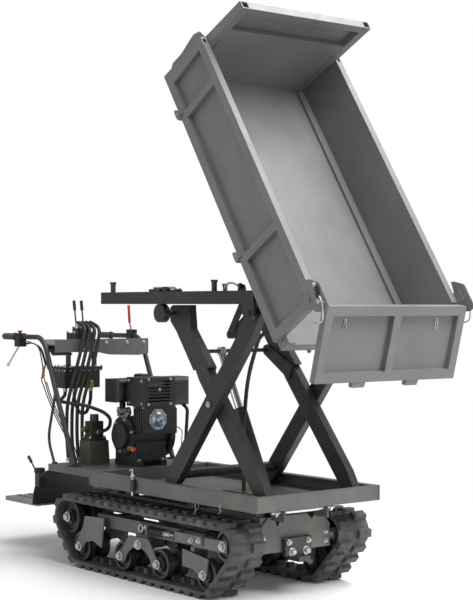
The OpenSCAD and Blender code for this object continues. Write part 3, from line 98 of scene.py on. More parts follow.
class Nodes:
    """Small helper that adds and links shader nodes."""

    def __init__(self, name):
        self.mat = bpy.data.materials.new(name)
        self.mat.use_nodes = True
        self.tree = self.mat.node_tree
        self.bsdf = self.tree.nodes["Principled BSDF"]
        self.coord = self.tree.nodes.new("ShaderNodeTexCoord").outputs["Object"]

    def add(self, kind, **values):
        node = self.tree.nodes.new(kind)
        for key, value in values.items():
            if key in node.inputs:
                node.inputs[key].default_value = value
            else:
                setattr(node, key, value)
        return node

    def link(self, a, b):
        self.tree.links.new(a, b)

    def noise(self, scale, detail=4.0, rough=0.55, stretch=None):
        node = self.add("ShaderNodeTexNoise", Scale=scale, Detail=detail, Roughness=rough)
        if stretch:
            mapping = self.add("ShaderNodeMapping")
            mapping.inputs["Scale"].default_value = stretch
            self.link(self.coord, mapping.inputs["Vector"])
            self.link(mapping.outputs[0], node.inputs["Vector"])
        else:
            self.link(self.coord, node.inputs["Vector"])
        return node.outputs["Fac"]

    def ramp(self, fac, low, high, a=0.0, b=1.0):
        node = self.add("ShaderNodeMapRange")
        node.inputs["From Min"].default_value = low
        node.inputs["From Max"].default_value = high
        node.inputs["To Min"].default_value = a
        node.inputs["To Max"].default_value = b
        self.link(fac, node.inputs["Value"])
        return node.outputs[0]

    def mix(self, fac, a, b):
        node = self.add("ShaderNodeMix", data_type="RGBA")
        for value, socket in ((fac, 0), (a, 6), (b, 7)):
            if hasattr(value, "default_value") or hasattr(value, "links"):
                self.link(value, node.inputs[socket])
            else:
                node.inputs[socket].default_value = value
        return node.outputs[2]

    def times(self, a, b):
        node = self.add("ShaderNodeMath", operation="MULTIPLY")
        for value, socket in ((a, 0), (b, 1)):
            if isinstance(value, (int, float)):
                node.inputs[socket].default_value = value
            else:
                self.link(value, node.inputs[socket])
        return node.outputs[0]

    def edges(self, radius):
        """1 along edges: where the rounded normal leaves the true one."""
        bevel = self.add("ShaderNodeBevel", samples=4)
        bevel.inputs["Radius"].default_value = radius
        geo = self.add("ShaderNodeNewGeometry")
        dot = self.add("ShaderNodeVectorMath", operation="DOT_PRODUCT")
        self.link(bevel.outputs[0], dot.inputs[0])
        self.link(geo.outputs["Normal"], dot.inputs[1])
        return self.ramp(dot.outputs["Value"], 0.995, 0.80), bevel.outputs[0]

    def bump(self, height, strength, distance, normal=None):
        node = self.add("ShaderNodeBump", Strength=strength, Distance=distance)
        self.link(height, node.inputs["Height"])
        if normal is not None:
            self.link(normal, node.inputs["Normal"])
        self.link(node.outputs[0], self.bsdf.inputs["Normal"])


def paint(name, base, rough=0.45, worn="#9a9a98", wear=0.35, dust="#8d877c", dusty=0.25, grain=900.0,
          bump=0.12, metal=0.0, edge=0.003):
    """Sprayed paint: orange peel, faint blotches, dust in broad patches and rubbed edges."""
    n = Nodes(name)
    colour = srgb(base)
    darker = tuple(c * 0.86 for c in colour[:3]) + (1.0,)
    blotch = n.ramp(n.noise(5.0, 6.0), 0.35, 0.65)
    tone = n.mix(blotch, darker, colour)
    patches = n.times(n.ramp(n.noise(2.3, 8.0, 0.65), 0.48, 0.75), dusty)
    tone = n.mix(patches, tone, srgb(dust))
    edge_mask, soft_normal = n.edges(edge)
    chips = n.times(n.times(edge_mask, n.ramp(n.noise(60.0, 5.0, 0.7), 0.46, 0.60)), wear)
    tone = n.mix(chips, tone, srgb(worn))
    n.link(tone, n.bsdf.inputs["Base Color"])
    n.link(n.ramp(n.noise(14.0, 6.0), 0.3, 0.7, rough - 0.07, rough + 0.10), n.bsdf.inputs["Roughness"])
    n.bsdf.inputs["Metallic"].default_value = metal
    n.bump(n.noise(grain, 2.0), bump, 0.0006, soft_normal)
    return n.mat


def rubber(name, base, dust="#77726a", dusty=0.4, rough=0.78, scale=1.0):
    """Moulded rubber: fine pores, scuffs that lighten raised edges, dust settled in patches."""
    n = Nodes(name)
    colour = srgb(base)
    darker = tuple(c * 0.72 for c in colour[:3]) + (1.0,)
    tone = n.mix(n.ramp(n.noise(22.0 * scale, 6.0, 0.65), 0.35, 0.65), darker, colour)
    edge_mask, soft_normal = n.edges(0.004)
    scuff = n.times(n.times(edge_mask, n.ramp(n.noise(45.0 * scale, 5.0), 0.4, 0.62)), 0.5)
    tone = n.mix(scuff, tone, srgb(dust))
    patches = n.times(n.ramp(n.noise(6.0 * scale, 8.0, 0.7), 0.45, 0.72), dusty)
    tone = n.mix(patches, tone, srgb(dust))
    n.link(tone, n.bsdf.inputs["Base Color"])
    n.link(n.ramp(n.noise(30.0 * scale, 4.0), 0.3, 0.7, rough - 0.12, rough + 0.08),
           n.bsdf.inputs["Roughness"])
    n.bump(n.noise(380.0 * scale, 3.0), 0.35, 0.0009, soft_normal)
    return n.mat


def bare_metal(name, base, rough=0.32, scale=1.0, tint="#8f8a80", stretch=(1.0, 30.0, 30.0)):
    """Plated or ground steel: drawn streaks, slight tarnish and rounded edges."""
    n = Nodes(name)
    colour = srgb(base)
    streaks = n.noise(18.0 * scale, 4.0, 0.6, stretch)
    tone = n.mix(n.ramp(streaks, 0.3, 0.7), tuple(c * 0.82 for c in colour[:3]) + (1.0,), colour)
    tone = n.mix(n.times(n.ramp(n.noise(9.0 * scale, 6.0), 0.5, 0.75), 0.35), tone, srgb(tint))
    n.link(tone, n.bsdf.inputs["Base Color"])
    n.link(n.ramp(streaks, 0.2, 0.8, rough - 0.1, rough + 0.14), n.bsdf.inputs["Roughness"])
    n.bsdf.inputs["Metallic"].default_value = 0.92
    _, soft_normal = n.edges(0.0012)
    n.bump(streaks, 0.06, 0.0004, soft_normal)
    return n.mat


def plastic(name, base, rough=0.5, grain=700.0, dusty=0.15, coat=0.0):
    """Moulded plastic: spark-eroded grain, faint handling shine and dust."""
    n = Nodes(name)
    colour = srgb(base)
    tone = n.mix(n.ramp(n.noise(12.0, 5.0), 0.35, 0.65), tuple(c * 0.85 for c in colour[:3]) + (1.0,),
                 colour)
    tone = n.mix(n.times(n.ramp(n.noise(4.0, 7.0), 0.5, 0.75), dusty), tone, srgb("#8a867e"))
    n.link(tone, n.bsdf.inputs["Base Color"])
    n.link(n.ramp(n.noise(20.0, 5.0), 0.3, 0.7, rough - 0.08, rough + 0.1), n.bsdf.inputs["Roughness"])
    n.bsdf.inputs["Coat Weight"].default_value = coat
    _, soft_normal = n.edges(0.0015)
    n.bump(n.noise(grain, 2.0), 0.15, 0.0005, soft_normal)
    return n.mat


MAT = {
    "skip_paint": paint("skip_paint", "#767778", 0.42, worn="#a9a9a7", wear=0.25, dusty=0.12),
    "frame_paint": paint("frame_paint", "#5d5d5b", 0.5, dusty=0.25),
    "dark_paint": paint("dark_paint", "#2b2c2d", 0.4, worn="#808080", wear=0.25, dusty=0.15),
    "track_rubber": rubber("track_rubber", "#454546", dust="#8a857c", dusty=0.5),
    "hose_rubber": rubber("hose_rubber", "#1d1d1e", dusty=0.15, rough=0.55, scale=2.0),
    "zinc_steel": bare_metal("zinc_steel", "#c9cbcc", 0.34),
    "chrome_rod": bare_metal("chrome_rod", "#e2e3e4", 0.14, tint="#b9b9b6"),
    "engine_black": paint("engine_black", "#1e1f20", 0.4, worn="#5a5a5a", wear=0.3, dusty=0.12),
    "black_plastic": plastic("black_plastic", "#1c1c1d", 0.48),
    "red_plastic": plastic("red_plastic", "#b3141b", 0.35, coat=0.2, dusty=0.05),
    "olive_paint": paint("olive_paint", "#4b4b41", 0.5, dusty=0.2),
    "console_paint": paint("console_paint", "#5f6164", 0.34, worn="#9a9a9a", wear=0.3, dusty=0.12),
    "step_steel": bare_metal("step_steel", "#a3a3a1", 0.42, tint="#6b6964"),
    "cover_black": plastic("cover_black", "#333435", 0.4),
    "brass": bare_metal("brass", "#b08a4a", 0.36, tint="#7a6238"),
    "orange_plastic": plastic("orange_plastic", "#d8641c", 0.4, dusty=0.08),
    "pale_plastic": plastic("pale_plastic", "#d9d8d2", 0.45, dusty=0.1),
    "blue_zinc": bare_metal("blue_zinc", "#9fb3c0", 0.3, tint="#7d8f9c"),
    "dull_metal": bare_metal("dull_metal", "#6f6f6d", 0.5, tint="#55534e"),
}

for part in frame["record"]["subparts"]:
    node = NODES[part["node"]]
    node.data.materials.clear()
    node.data.materials.append(MAT[part["material_slot"]])
for name in ("upper_rollers", "sprocket_right", "sprocket_left", "idler_right", "idler_left", "tow_hitch"):
    NODES[name].data.materials[0] = MAT["dark_paint"]
for name, slot in (("console_plate", "console_paint"), ("step_plate", "step_steel"),
                   ("air_cleaner", "cover_black")):
    NODES[name].data.materials[0] = MAT[slot]
for name in NODES:
    if name.startswith("roller_"):
        NODES[name].data.materials[0] = MAT["dark_paint"]

# Camera and light
AZIMUTH, ELEVATION = math.radians(51.34), math.radians(-0.27)
FOCAL_PX, IMAGE_H, SENSOR = 1459.7, 600, 36.0
back = Vector((math.sin(AZIMUTH) * math.cos(ELEVATION), -math.cos(AZIMUTH) * math.cos(ELEVATION),
               math.sin(ELEVATION)))
right = Vector((math.cos(AZIMUTH), math.sin(AZIMUTH), 0))
up = back.cross(right)
cam_data = bpy.data.cameras.new("camera")
cam_data.sensor_fit = "VERTICAL"
cam_data.sensor_height = SENSOR
cam_data.lens = FOCAL_PX * SENSOR / IMAGE_H
cam_data.clip_end = 100
cam = bpy.data.objects.new("camera", cam_data)
CAMERA_AT = at(5895, -4172, BASE_TOP + 787)
cam.matrix_world = Matrix.Translation(CAMERA_AT) @ Matrix((
    (right.x, up.x, back.x, 0), (right.y, up.y, back.y, 0), (right.z, up.z, back.z, 0), (0, 0, 0, 1)))
bpy.context.collection.objects.link(cam)
scene = bpy.context.scene
scene.camera = cam
scene.view_settings.view_transform = "Standard"


def lamp(name, place, target, size, power):
    data = bpy.data.lights.new(name, "AREA")
    data.shape = "DISK"
    data.size = size
    data.energy = power
    obj = bpy.data.objects.new(name, data)
    direction = Vector(target) - Vector(place)
    obj.rotation_euler = direction.to_track_quat("-Z", "Y").to_euler()
    obj.location = place
    obj.visible_camera = False
    bpy.context.collection.objects.link(obj)


lamp("key", (4.2, 0.3, 5.6), (0.2, 0, 1.1), 4.0, 430)
lamp("fill", (0.5, -6.0, 1.6), (0, 0, 0.6), 4.0, 75)
lamp("top", (0.5, 2.0, 6.0), (0.2, 0, 0.8), 4.0, 240)
lamp("low", (4.0, 0.8, 0.3), (0.4, 0, 1.9), 2.0, 30)

world = bpy.data.worlds.new("studio")
scene.world = world
world.use_nodes = True
wt = world.node_tree
wt.nodes.clear()
rays = wt.nodes.new("ShaderNodeLightPath")
seen = wt.nodes.new("ShaderNodeMath")
seen.operation = "MAXIMUM"
wt.links.new(rays.outputs["Is Camera Ray"], seen.inputs[0])
wt.links.new(rays.outputs["Is Transmission Ray"], seen.inputs[1])
level = wt.nodes.new("ShaderNodeMapRange")
level.inputs["To Min"].default_value = 0.45
level.inputs["To Max"].default_value = 1.0
wt.links.new(seen.outputs[0], level.inputs["Value"])
sky = wt.nodes.new("ShaderNodeBackground")
sky.inputs["Color"].default_value = (1, 1, 1, 1)
wt.links.new(level.outputs[0], sky.inputs["Strength"])
out = wt.nodes.new("ShaderNodeOutputWorld")
wt.links.new(sky.outputs[0], out.inputs["Surface"])

floor_mesh = bpy.data.meshes.new("floor")
bm = bmesh.new()
bmesh.ops.create_circle(bm, cap_ends=True, radius=6.0, segments=96)
bm.to_mesh(floor_mesh)
bm.free()
floor = bpy.data.objects.new("floor", floor_mesh)
floor.location = (0, 0, -0.0005)
bpy.context.collection.objects.link(floor)
fm = Nodes("floor")
fm.bsdf.inputs["Base Color"].default_value = (0.9, 0.9, 0.9, 1)
fm.bsdf.inputs["Roughness"].default_value = 0.9
clear = fm.add("ShaderNodeBsdfTransparent")
fade = fm.add("ShaderNodeMixShader")
distance = fm.add("ShaderNodeVectorMath", operation="LENGTH")
fm.link(fm.coord, distance.inputs[0])
fm.link(fm.ramp(distance.outputs["Value"], 1.3, 2.8), fade.inputs[0])
fm.link(fm.bsdf.outputs[0], fade.inputs[1])
fm.link(clear.outputs[0], fade.inputs[2])
fm.link(fade.outputs[0], fm.tree.nodes["Material Output"].inputs["Surface"])
floor_mesh.materials.append(fm.mat)

# Mesh tools
def add(name, bm, mat, body, smooth=False):
    """Makes a piece from a bmesh in the row frame, riding on a body."""
    mesh = bpy.data.meshes.new(name)
    bmesh.ops.recalc_face_normals(bm, faces=bm.faces)
    bm.to_mesh(mesh)
    bm.free()
    for face in mesh.polygons:
        face.use_smooth = smooth
    mesh.materials.append(MAT[mat])
    obj = bpy.data.objects.new(name, mesh)
    bpy.context.collection.objects.link(obj)
    if smooth:
        mod = obj.modifiers.new("normals", "EDGE_SPLIT")
        mod.split_angle = math.radians(38)
    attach(obj, body)
    return obj


def curve_points(route, cut, steps=10):
    """Route with its corners replaced by short quadratic bends."""
    pts = [Vector(p) for p in route]
    out = [pts[0]]
    for a, b, c in zip(pts, pts[1:], pts[2:]):
        u, w = a - b, c - b
        d = min(cut, 0.45 * u.length, 0.45 * w.length)
        u, w = u.normalized() * d, w.normalized() * d
        for k in range(steps + 1):
            t = k / steps
            out.append(b + (1 - t) ** 2 * u + t * t * w)
    out.append(pts[-1])
    return out


def tube(bm, path, radius, sides=16, taper=None):
    """Sweeps a closed tube along a path, with a frame carried along it."""
    normal = None
    rings = []
    for i, p in enumerate(path):
        t = (path[min(i + 1, len(path) - 1)] - path[max(i - 1, 0)]).normalized()
        if normal is None:
            ref = Vector((0, 0, 1)) if abs(t.z) < 0.9 else Vector((1, 0, 0))
            normal = t.cross(ref).normalized()
        normal = (normal - t * normal.dot(t)).normalized()
        side = t.cross(normal)
        r = radius * (taper(i / (len(path) - 1)) if taper else 1.0)
        rings.append([bm.verts.new(p + r * (math.cos(a) * normal + math.sin(a) * side))
                      for a in (2 * math.pi * k / sides for k in range(sides))])
    for low, high in zip(rings, rings[1:]):
        for k in range(sides):
            bm.faces.new((low[k], low[(k + 1) % sides], high[(k + 1) % sides], high[k]))
    bm.faces.new(rings[0])
    bm.faces.new(rings[-1])


def axes_of(axis):
    """Two unit vectors square to an axis."""
    axis = Vector(axis).normalized()
    ref = Vector((0, 0, 1)) if abs(axis.z) < 0.9 else Vector((1, 0, 0))
    u = axis.cross(ref).normalized()
    return axis, u, axis.cross(u)


def lathe(bm, origin, axis, profile, sides=24, turn=0.0):
    """Turns (radius, height) pairs about an axis through origin; metres."""
    axis, u, v = axes_of(axis)
    rings = []
    for r, h in profile:
        rings.append([bm.verts.new(Vector(origin) + axis * h + r * (math.cos(a) * u + math.sin(a) * v))
                      for a in (turn + 2 * math.pi * k / sides for k in range(sides))])
    for low, high in zip(rings, rings[1:]):
        for k in range(sides):
            bm.faces.new((low[k], low[(k + 1) % sides], high[(k + 1) % sides], high[k]))
    bm.faces.new(rings[0])
    bm.faces.new(rings[-1])


def bolt(bm, origin, axis, r, h, washer=1.35):
    """Washer, hexagon head with a turned chamfer, and a stud end."""
    lathe(bm, origin, axis, [(r * washer, 0), (r * washer, h * 0.22), (r * washer * 0.93, h * 0.26)], 20)
    o = Vector(origin) + Vector(axis).normalized() * h * 0.24
    lathe(bm, o, axis, [(r, 0), (r, h * 0.62), (r * 0.86, h * 0.74)], 6, 0.3)
    o += Vector(axis).normalized() * h * 0.70
    lathe(bm, o, axis, [(r * 0.55, 0), (r * 0.55, h * 0.22), (r * 0.46, h * 0.28)], 12)


def box(bm, low, high, bevel=0.002, segments=2, move=None):
    """Bevelled block between two corners, in metres; move maps each corner if given."""
    before = set(bm.verts)
    got = bmesh.ops.create_cube(bm, size=1.0)
    low, high = Vector(low), Vector(high)
    for v in got["verts"]:
        v.co = Vector([low[i] + (v.co[i] + 0.5) * (high[i] - low[i]) for i in range(3)])
    edges = list({e for v in got["verts"] for e in v.link_edges})
    if bevel:
        bmesh.ops.bevel(bm, geom=edges, offset=bevel, segments=segments, profile=0.6, affect="EDGES")
    if move:
        for v in bm.verts:
            if v not in before:
                v.co = move(v.co)


def plate(bm, outline, thickness, place, bevel=0.0):
    """Flat plate from an outline of (a, b) pairs; place(a, b, c) puts a point, c from 0 to thickness."""
    low = [bm.verts.new(place(a, b, 0)) for a, b in outline]
    high = [bm.verts.new(place(a, b, thickness)) for a, b in outline]
    count = len(outline)
    bm.faces.new(low)
    bm.faces.new(high)
    for k in range(count):
        bm.faces.new((low[k], low[(k + 1) % count], high[(k + 1) % count], high[k]))


def weld(bm, points, r=0.0035):
    """Rippled weld bead along a path."""
    path = []
    for a, b in zip(points, points[1:]):
        count = max(2, int((Vector(b) - Vector(a)).length / 0.006))
        path += [Vector(a).lerp(Vector(b), k / count) for k in range(count)]
    path.append(Vector(points[-1]))
    tube(bm, path, r, 6, taper=lambda t: 1.0 + 0.18 * math.sin(t * len(path) * 1.9))


# Handlebars and controls
BAR_Y, BAR_Z = 300.0, BASE_TOP + 632
bm = bmesh.new()
for side in (-1, 1):
    y = side * BAR_Y
    route = [at(-905, y, BAR_Z), at(-552, y, BAR_Z), at(-498, y, BAR_Z - 40), at(-400, y, BASE_TOP + 370),
             at(-225, y, BASE_TOP + 8)]
    tube(bm, curve_points(route, 0.07, 14), 0.013, 24)
    stay = [at(-402, y, BASE_TOP + 352), at(-472, y, BASE_TOP + 120), at(-412, y, BASE_TOP + 4)]
    tube(bm, curve_points(stay, 0.06, 10), 0.007, 14)
    box(bm, at(-252, y - 20, BASE_TOP), at(-198, y + 20, BASE_TOP + 8), 0.002)
    box(bm, at(-416, y - 12, BASE_TOP), at(-398, y + 12, BASE_TOP + 8), 0.002)
bars = add("handlebar_tubes", bm, "dark_paint", "base", True)
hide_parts("handlebars")

bm = bmesh.new()
for side in (-1, 1):
    y = side * BAR_Y
    ridges = [(0.0136, 0.0), (0.017, 0.002)]
    for k in range(14):
        h = 0.008 + k * 0.0068
        ridges += [(0.0172, h), (0.0162, h + 0.0018), (0.0162, h + 0.0042), (0.0172, h + 0.006)]
    ridges += [(0.0175, 0.106), (0.0205, 0.108), (0.0205, 0.1145), (0.0136, 0.115)]
    lathe(bm, at(-911, y, BAR_Z), (1, 0, 0), [(0.004, -0.003 + 0.004), (0.012, 0.0012)] + ridges, 28)
grips = add("grip_sleeves", bm, "track_rubber", "base", True)
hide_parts("grips")

# Hoses
bm = bmesh.new()
ferrules = bmesh.new()
CONSOLE_Z = BASE_TOP + 590
for i in range(4):
    y = -100 + (i - 1.5) * 24
    route = [at(-456, y, CONSOLE_Z + 86.3), at(-456, y, CONSOLE_Z + 122),
             at(-400 + i * 8, -120 + i * 24, CONSOLE_Z + 90),
             at(-384 + i * 10, -170 + i * 26, CONSOLE_Z - 60),
             at(-390 + i * 10, -238 + i * 24, BASE_TOP + 300),
             at(-392 + i * 10, -240 + i * 24, BASE_TOP + 140),
             at(-378 + i * 9, -236 + i * 24, BASE_TOP + 1.5)]
    path = curve_points(route, 0.06, 12)
    tube(bm, path, 0.009, 16)
    for p, q in ((path[0], path[1]), (path[-1], path[-2])):
        axis = (q - p).normalized()
        lathe(ferrules, p, axis, [(0.0098, 0), (0.0112, 0.001), (0.0112, 0.010), (0.0100, 0.012),
                                  (0.0112, 0.014),
                                  (0.0112, 0.024), (0.0100, 0.026)], 18)
        lathe(ferrules, p + axis * 0.001, axis, [(0.0128, 0), (0.0128, 0.0075), (0.0115, 0.009)], 6)
TANK_LOW = BASE_TOP + 372
suction = [at(-476, -196, TANK_LOW - 0.3), at(-476, -196, TANK_LOW - 36), at(-430, -258, 772),
           at(-345, -262, 768),
           at(-290, -190, 756), at(-255, -110, 722), at(-226, -84, 690), at(-220, -96, 640),
           at(-228, -148, 622),
           at(-249.7, -148, 622)]
drain = [at(-462, -150, TANK_LOW - 0.3), at(-462, -150, TANK_LOW - 70), at(-446, -128, 705),
         at(-430, -98, 705),
         at(-424, -75, 770), at(-424, -75, TANK_LOW + 1.7)]
for route in (suction, drain):
    path = curve_points(route, 0.06, 12)
    tube(bm, path, 0.009, 16)
    for p, q in ((path[0], path[1]), (path[-1], path[-2])):
        lathe(ferrules, p, q - p, [(0.0098, 0), (0.0116, 0.001), (0.0116, 0.016), (0.0100, 0.018)], 18)
hoses = add("hydraulic_hoses", bm, "hose_rubber", "base", True)
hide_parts("hoses")
add("hose_ferrules", ferrules, "zinc_steel", "base", True)

bm = bmesh.new()
route = [at(890, -125, TRAY_TOP + 0.3), at(884, -125, TRAY_TOP + 160), at(890, -125, BASE_TOP + 300),
         at(916, -125, BASE_TOP + 480), at(1000, -125, UPPER_Z - 130), at(1108, -125, UPPER_Z - 120),
         at(1110, -125, UPPER_Z - 0.3)]
crossing = curve_points(route, 0.08, 12)
tube(bm, crossing, 0.009, 14)
for k in (9, 22, 36):
    p, q = crossing[k], crossing[k + 1]
    lathe(bm, p, (q - p).normalized(), [(0.0094, 0), (0.0102, 0.0005), (0.0102, 0.0045), (0.0094, 0.005)],
          16)
lift_hose = add("lift_hose_tube", bm, "hose_rubber", "base", True)
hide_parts("lift_hose")
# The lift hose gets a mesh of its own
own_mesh(lift_hose)

# Undercarriage
GAUGE_HALF, AXLE_HALF = 305.0, 74.0
ROLLERS, ROLLER_Z = (-55.0, 292.0, 587.0, 925.0), 100.0
BOGIE, SPROCKET, IDLER = (439.5, 170.0), (-160.0, 230.0), (1060.0, 240.0)
BEAM_FACE = 333.0


def axle_bolts(bm, x, z, side, r):
    """Zinc-plated bolts over both heads of an axle."""
    for s in (-1, 1):
        bolt(bm, at(x, side * GAUGE_HALF + s * AXLE_HALF, z), (0, s, 0), r, 0.016)


fixed = bmesh.new()
for side in (-1, 1):
    for x in (ROLLERS[0], ROLLERS[3]):
        axle_bolts(fixed, x, ROLLER_Z, side, 0.0162)
    axle_bolts(fixed, *IDLER, side, 0.0162)
    axle_bolts(fixed, *BOGIE, side, 0.0174)
    bolt(fixed, at(SPROCKET[0], side * (GAUGE_HALF + AXLE_HALF), SPROCKET[1]), (0, side, 0), 0.0184, 0.017)
    for x, z in ((850, 240), (905, 246)):
        bolt(fixed, at(x, side * 387, z), (0, side, 0), 0.010, 0.012)
    rocking = bmesh.new()
    for x in ROLLERS[1:3]:
        axle_bolts(rocking, x, ROLLER_Z, side, 0.0162)
    name = "right" if side < 0 else "left"
    add("bogie_bolts_" + name, rocking, "zinc_steel", "bogie_" + name)
add("axle_bolts", fixed, "zinc_steel", "base")

plates = bmesh.new()
bright = bmesh.new()
springs = bmesh.new()
for side in (-1, 1):
    def out(x, y, z, side=side):
        return at(x, side * y, z)
    guide = [(721, 226), (721, 262), (726, 266), (922, 266), (928, 260), (928, 224)]
    plate(plates, guide, 6, lambda a, b, c: out(a, 381 + c, b))
    plate(plates, [(333, 226), (333, 266), (387, 266), (387, 226)], 6, lambda a, b, c: out(721 + c, a, b))
    plate(plates, [(333, 208), (333, 262), (366, 262), (374, 254), (374, 216), (366, 208)], 6,
          lambda a, b, c: out(492 + c, a, b))
    weld(plates, [out(721, 334, 226), out(721, 334, 266)])
    weld(plates, [out(498, 334, 208), out(498, 334, 262)])
    coil = [out(500 + 114 * k / 140, 352 + 15 * math.cos(k * 0.55), 238 + 15 * math.sin(k * 0.55))
            for k in range(141)]
    tube(springs, coil, 0.0034, 8)
    lathe(springs, out(498, 352, 238), (1, 0, 0), [(0.010, 0), (0.010, 0.116)], 18)
    lathe(bright, out(614, 352, 238), (1, 0, 0), [(0.017, 0), (0.017, 0.006), (0.0135, 0.007),
                                                  (0.0135, 0.040),
                                                 (0.0075, 0.041), (0.0075, 0.107)], 22)
    lathe(bright, out(700, 352, 238), (1, 0, 0), [(0.0125, 0), (0.0125, 0.010)], 6)
    ring = [out(418 + 17 * math.cos(t), 348, 238 + 17 * math.sin(t)) for t in
            (2 * math.pi * k / 24 for k in range(25))]
    tube(bright, ring, 0.0045, 10)
    bolt(bright, out(448, BEAM_FACE, 246), (0, side, 0), 0.011, 0.014)
    bolt(bright, out(418, BEAM_FACE, 221), (0, side, 0), 0.011, 0.014)
    plate(plates, [(396, 206), (396, 262), (466, 262), (476, 250), (476, 206)], 5,
          lambda a, b, c: out(a, 333 + c, b))
add("tensioner_plates", plates, "frame_paint", "base")
add("tensioner_springs", springs, "engine_black", "base", True)
add("tensioner_rods", bright, "zinc_steel", "base", True)

# Side plates that carry the drive shafts under the rear deck, with their bolts
plates = bmesh.new()
heads = bmesh.new()
for side in (-1, 1):
    outline = [(-262, 440), (-262, 405), (-206, 346), (-84, 346), (-30, 405), (-30, 440)]
    plate(plates, outline, 8, lambda a, b, c: at(a, side * (190 + c), b))
    for x, z in ((-236, 424), (-176, 424), (-116, 424), (-56, 424), (-180, 370), (-110, 370)):
        bolt(heads, at(x, side * 198, z), (0, side, 0), 0.010, 0.012)
add("drive_side_plates", plates, "frame_paint", "base")

# Hitch, front plate and front shaft fastenings
for y in (-40, 40):
    bolt(heads, at(1113, y, 190), (1, 0, 0), 0.0142, 0.020)
for y in (-55, 55):
    bolt(heads, at(1113, y, 232), (1, 0, 0), 0.010, 0.012)
for side in (-1, 1):
    lathe(heads, at(1140, side * 162, 372), (0, side, 0), [(0.014, 0), (0.014, 0.004), (0.009, 0.0045),
                                                           (0.009, 0.016),
                                                          (0.007, 0.018)], 18)
    for z in (215, 255):
        bolt(heads, at(1087, side * 180, z), (1, 0, 0), 0.009, 0.011)
add("frame_bolts", heads, "zinc_steel", "base")

beads = bmesh.new()
weld(beads, [at(1114, -75, 250.5), at(1088, -75, 250.5)])
weld(beads, [at(1088, -75, 251), at(1088, 75, 251)])
for side in (-1, 1):
    weld(beads, [at(1000, side * 190.5, 345), at(1060, side * 190.5, 345)])
    weld(beads, [at(60, side * 190.5, 345), at(120, side * 190.5, 345)])
    weld(beads, [at(40, side * 333.5, 214), at(40, side * 333.5, 260)])
    weld(beads, [at(1251, side * 349, TRAY_TOP + 4), at(1251, side * 349, BASE_TOP - 4)])
    weld(beads, [at(1, side * 355.5, TRAY_TOP + 3), at(1, side * 355.5, BASE_TOP - 3)])
    weld(beads, [at(1160, side * 205, TRAY_TOP + 1), at(1232, side * 205, TRAY_TOP + 1)])
add("frame_welds", beads, "frame_paint", "base", True)

# Stop pins on the base rails, their sockets, and the cable tied up under the near rail
sockets = bmesh.new()
pins = bmesh.new()
for side in (-1, 1):
    foot = at(377, side * 367, 0)
    lathe(sockets, foot, (0, 0, 1), [(0.0075, 0.404), (0.0115, 0.404), (0.0115, 0.458), (0.0075, 0.458)],
          20)
    box(sockets, at(389, side * 356.5 - 1.5, 412), at(402, side * 356.5 + 6, 452), 0.0015)
    lathe(pins, foot, (0, 0, 1), [(0.004, 0.384), (0.0068, 0.388), (0.0068, 0.402), (0.0072, 0.403),
                                  (0.0072, 0.468),
                                  (0.0105, 0.470), (0.0105, 0.478), (0.0068, 0.480), (0.0062, 0.490)], 18)
    handle = [at(377, side * 367, 488), at(377, side * 367, 499), at(371, side * 367, 503),
              at(360, side * 367, 502),
              at(356, side * 367, 496)]
    tube(pins, curve_points(handle, 0.006, 6), 0.0035, 10)
add("stop_pin_sockets", sockets, "dark_paint", "base", True)
add("stop_pins", pins, "zinc_steel", "base", True)

bm = bmesh.new()
tied = curve_points([at(520, -332, 395), at(577, -345, 381), at(700, -347, 374), at(838, -347, 374),
                     at(960, -347, 381),
                     at(1032, -345, 392), at(1075, -330, 395)], 0.05, 8)
tube(bm, tied, 0.0032, 10)
add("tied_cable", bm, "hose_rubber", "base", True)
bm = bmesh.new()
for x, z in ((838, 374), (1010, 388)):
    loop = [at(x + 0.5 * math.sin(t), -347 + 9 * math.cos(t), z + 12 + 17 * math.sin(t)) for t in
            (2 * math.pi * k / 20 for k in range(21))]
    tube(bm, loop, 0.0012, 6)
    tube(bm, [at(x, -349, z - 2), at(x - 3, -353, z - 12), at(x - 8, -355, z - 20)], 0.0011, 6)
add("cable_ties", bm, "pale_plastic", "base")

# Engine
E = 60.0
bm = bmesh.new()
lathe(bm, on_engine(E + 12, -24, 697), (1, 0, 0), [(0.038, -0.001), (0.037, 0.003), (0.032, 0.009),
                                                   (0.024, 0.0135),
                                                   (0.015, 0.0155), (0.004, 0.016)], 40)
for k in range(8):
    a = math.radians(22.5 + 45 * k)
    bolt(bm, on_engine(E + 2, -24 + 48.5 * math.cos(a), 697 + 48.5 * math.sin(a)), (1, 0, 0), 0.0045, 0.006)
bolt(bm, on_engine(E + 27, -24, 697), (1, 0, 0), 0.0125, 0.012, 1.5)
add("valve_cover_dome", bm, "blue_zinc", "base", True)

bm = bmesh.new()
for y, z in ((-80, 771), (53, 771), (-14, 842), (-80, 894), (53, 894)):
    bolt(bm, on_engine(E, y, z), (1, 0, 0), 0.0055, 0.007)
for x, z in ((-70, 776), (40, 776), (-70, 886), (40, 886)):
    bolt(bm, on_engine(x, -106, z), (0, -1, 0), 0.0055, 0.007)
for k in range(6):
    a = math.radians(60 * k + 15)
    bolt(bm, on_engine(E - 165 + 82 * math.cos(a), -120, 612 + 82 * math.sin(a)), (0, -1, 0), 0.007, 0.009)
for y in (-85, 55):
    for x in (-185, -15):
        bolt(bm, on_engine(x, y, BASE_TOP + 28), (0, 0, 1), 0.009, 0.011)
for x, y in ((-40, -92), (37, -92), (-40, 90), (37, 90)):
    bolt(bm, on_engine(x, y, 754), (0, -1 if y < 0 else 1, 0), 0.006, 0.008)
add("engine_bolts", bm, "zinc_steel", "base")

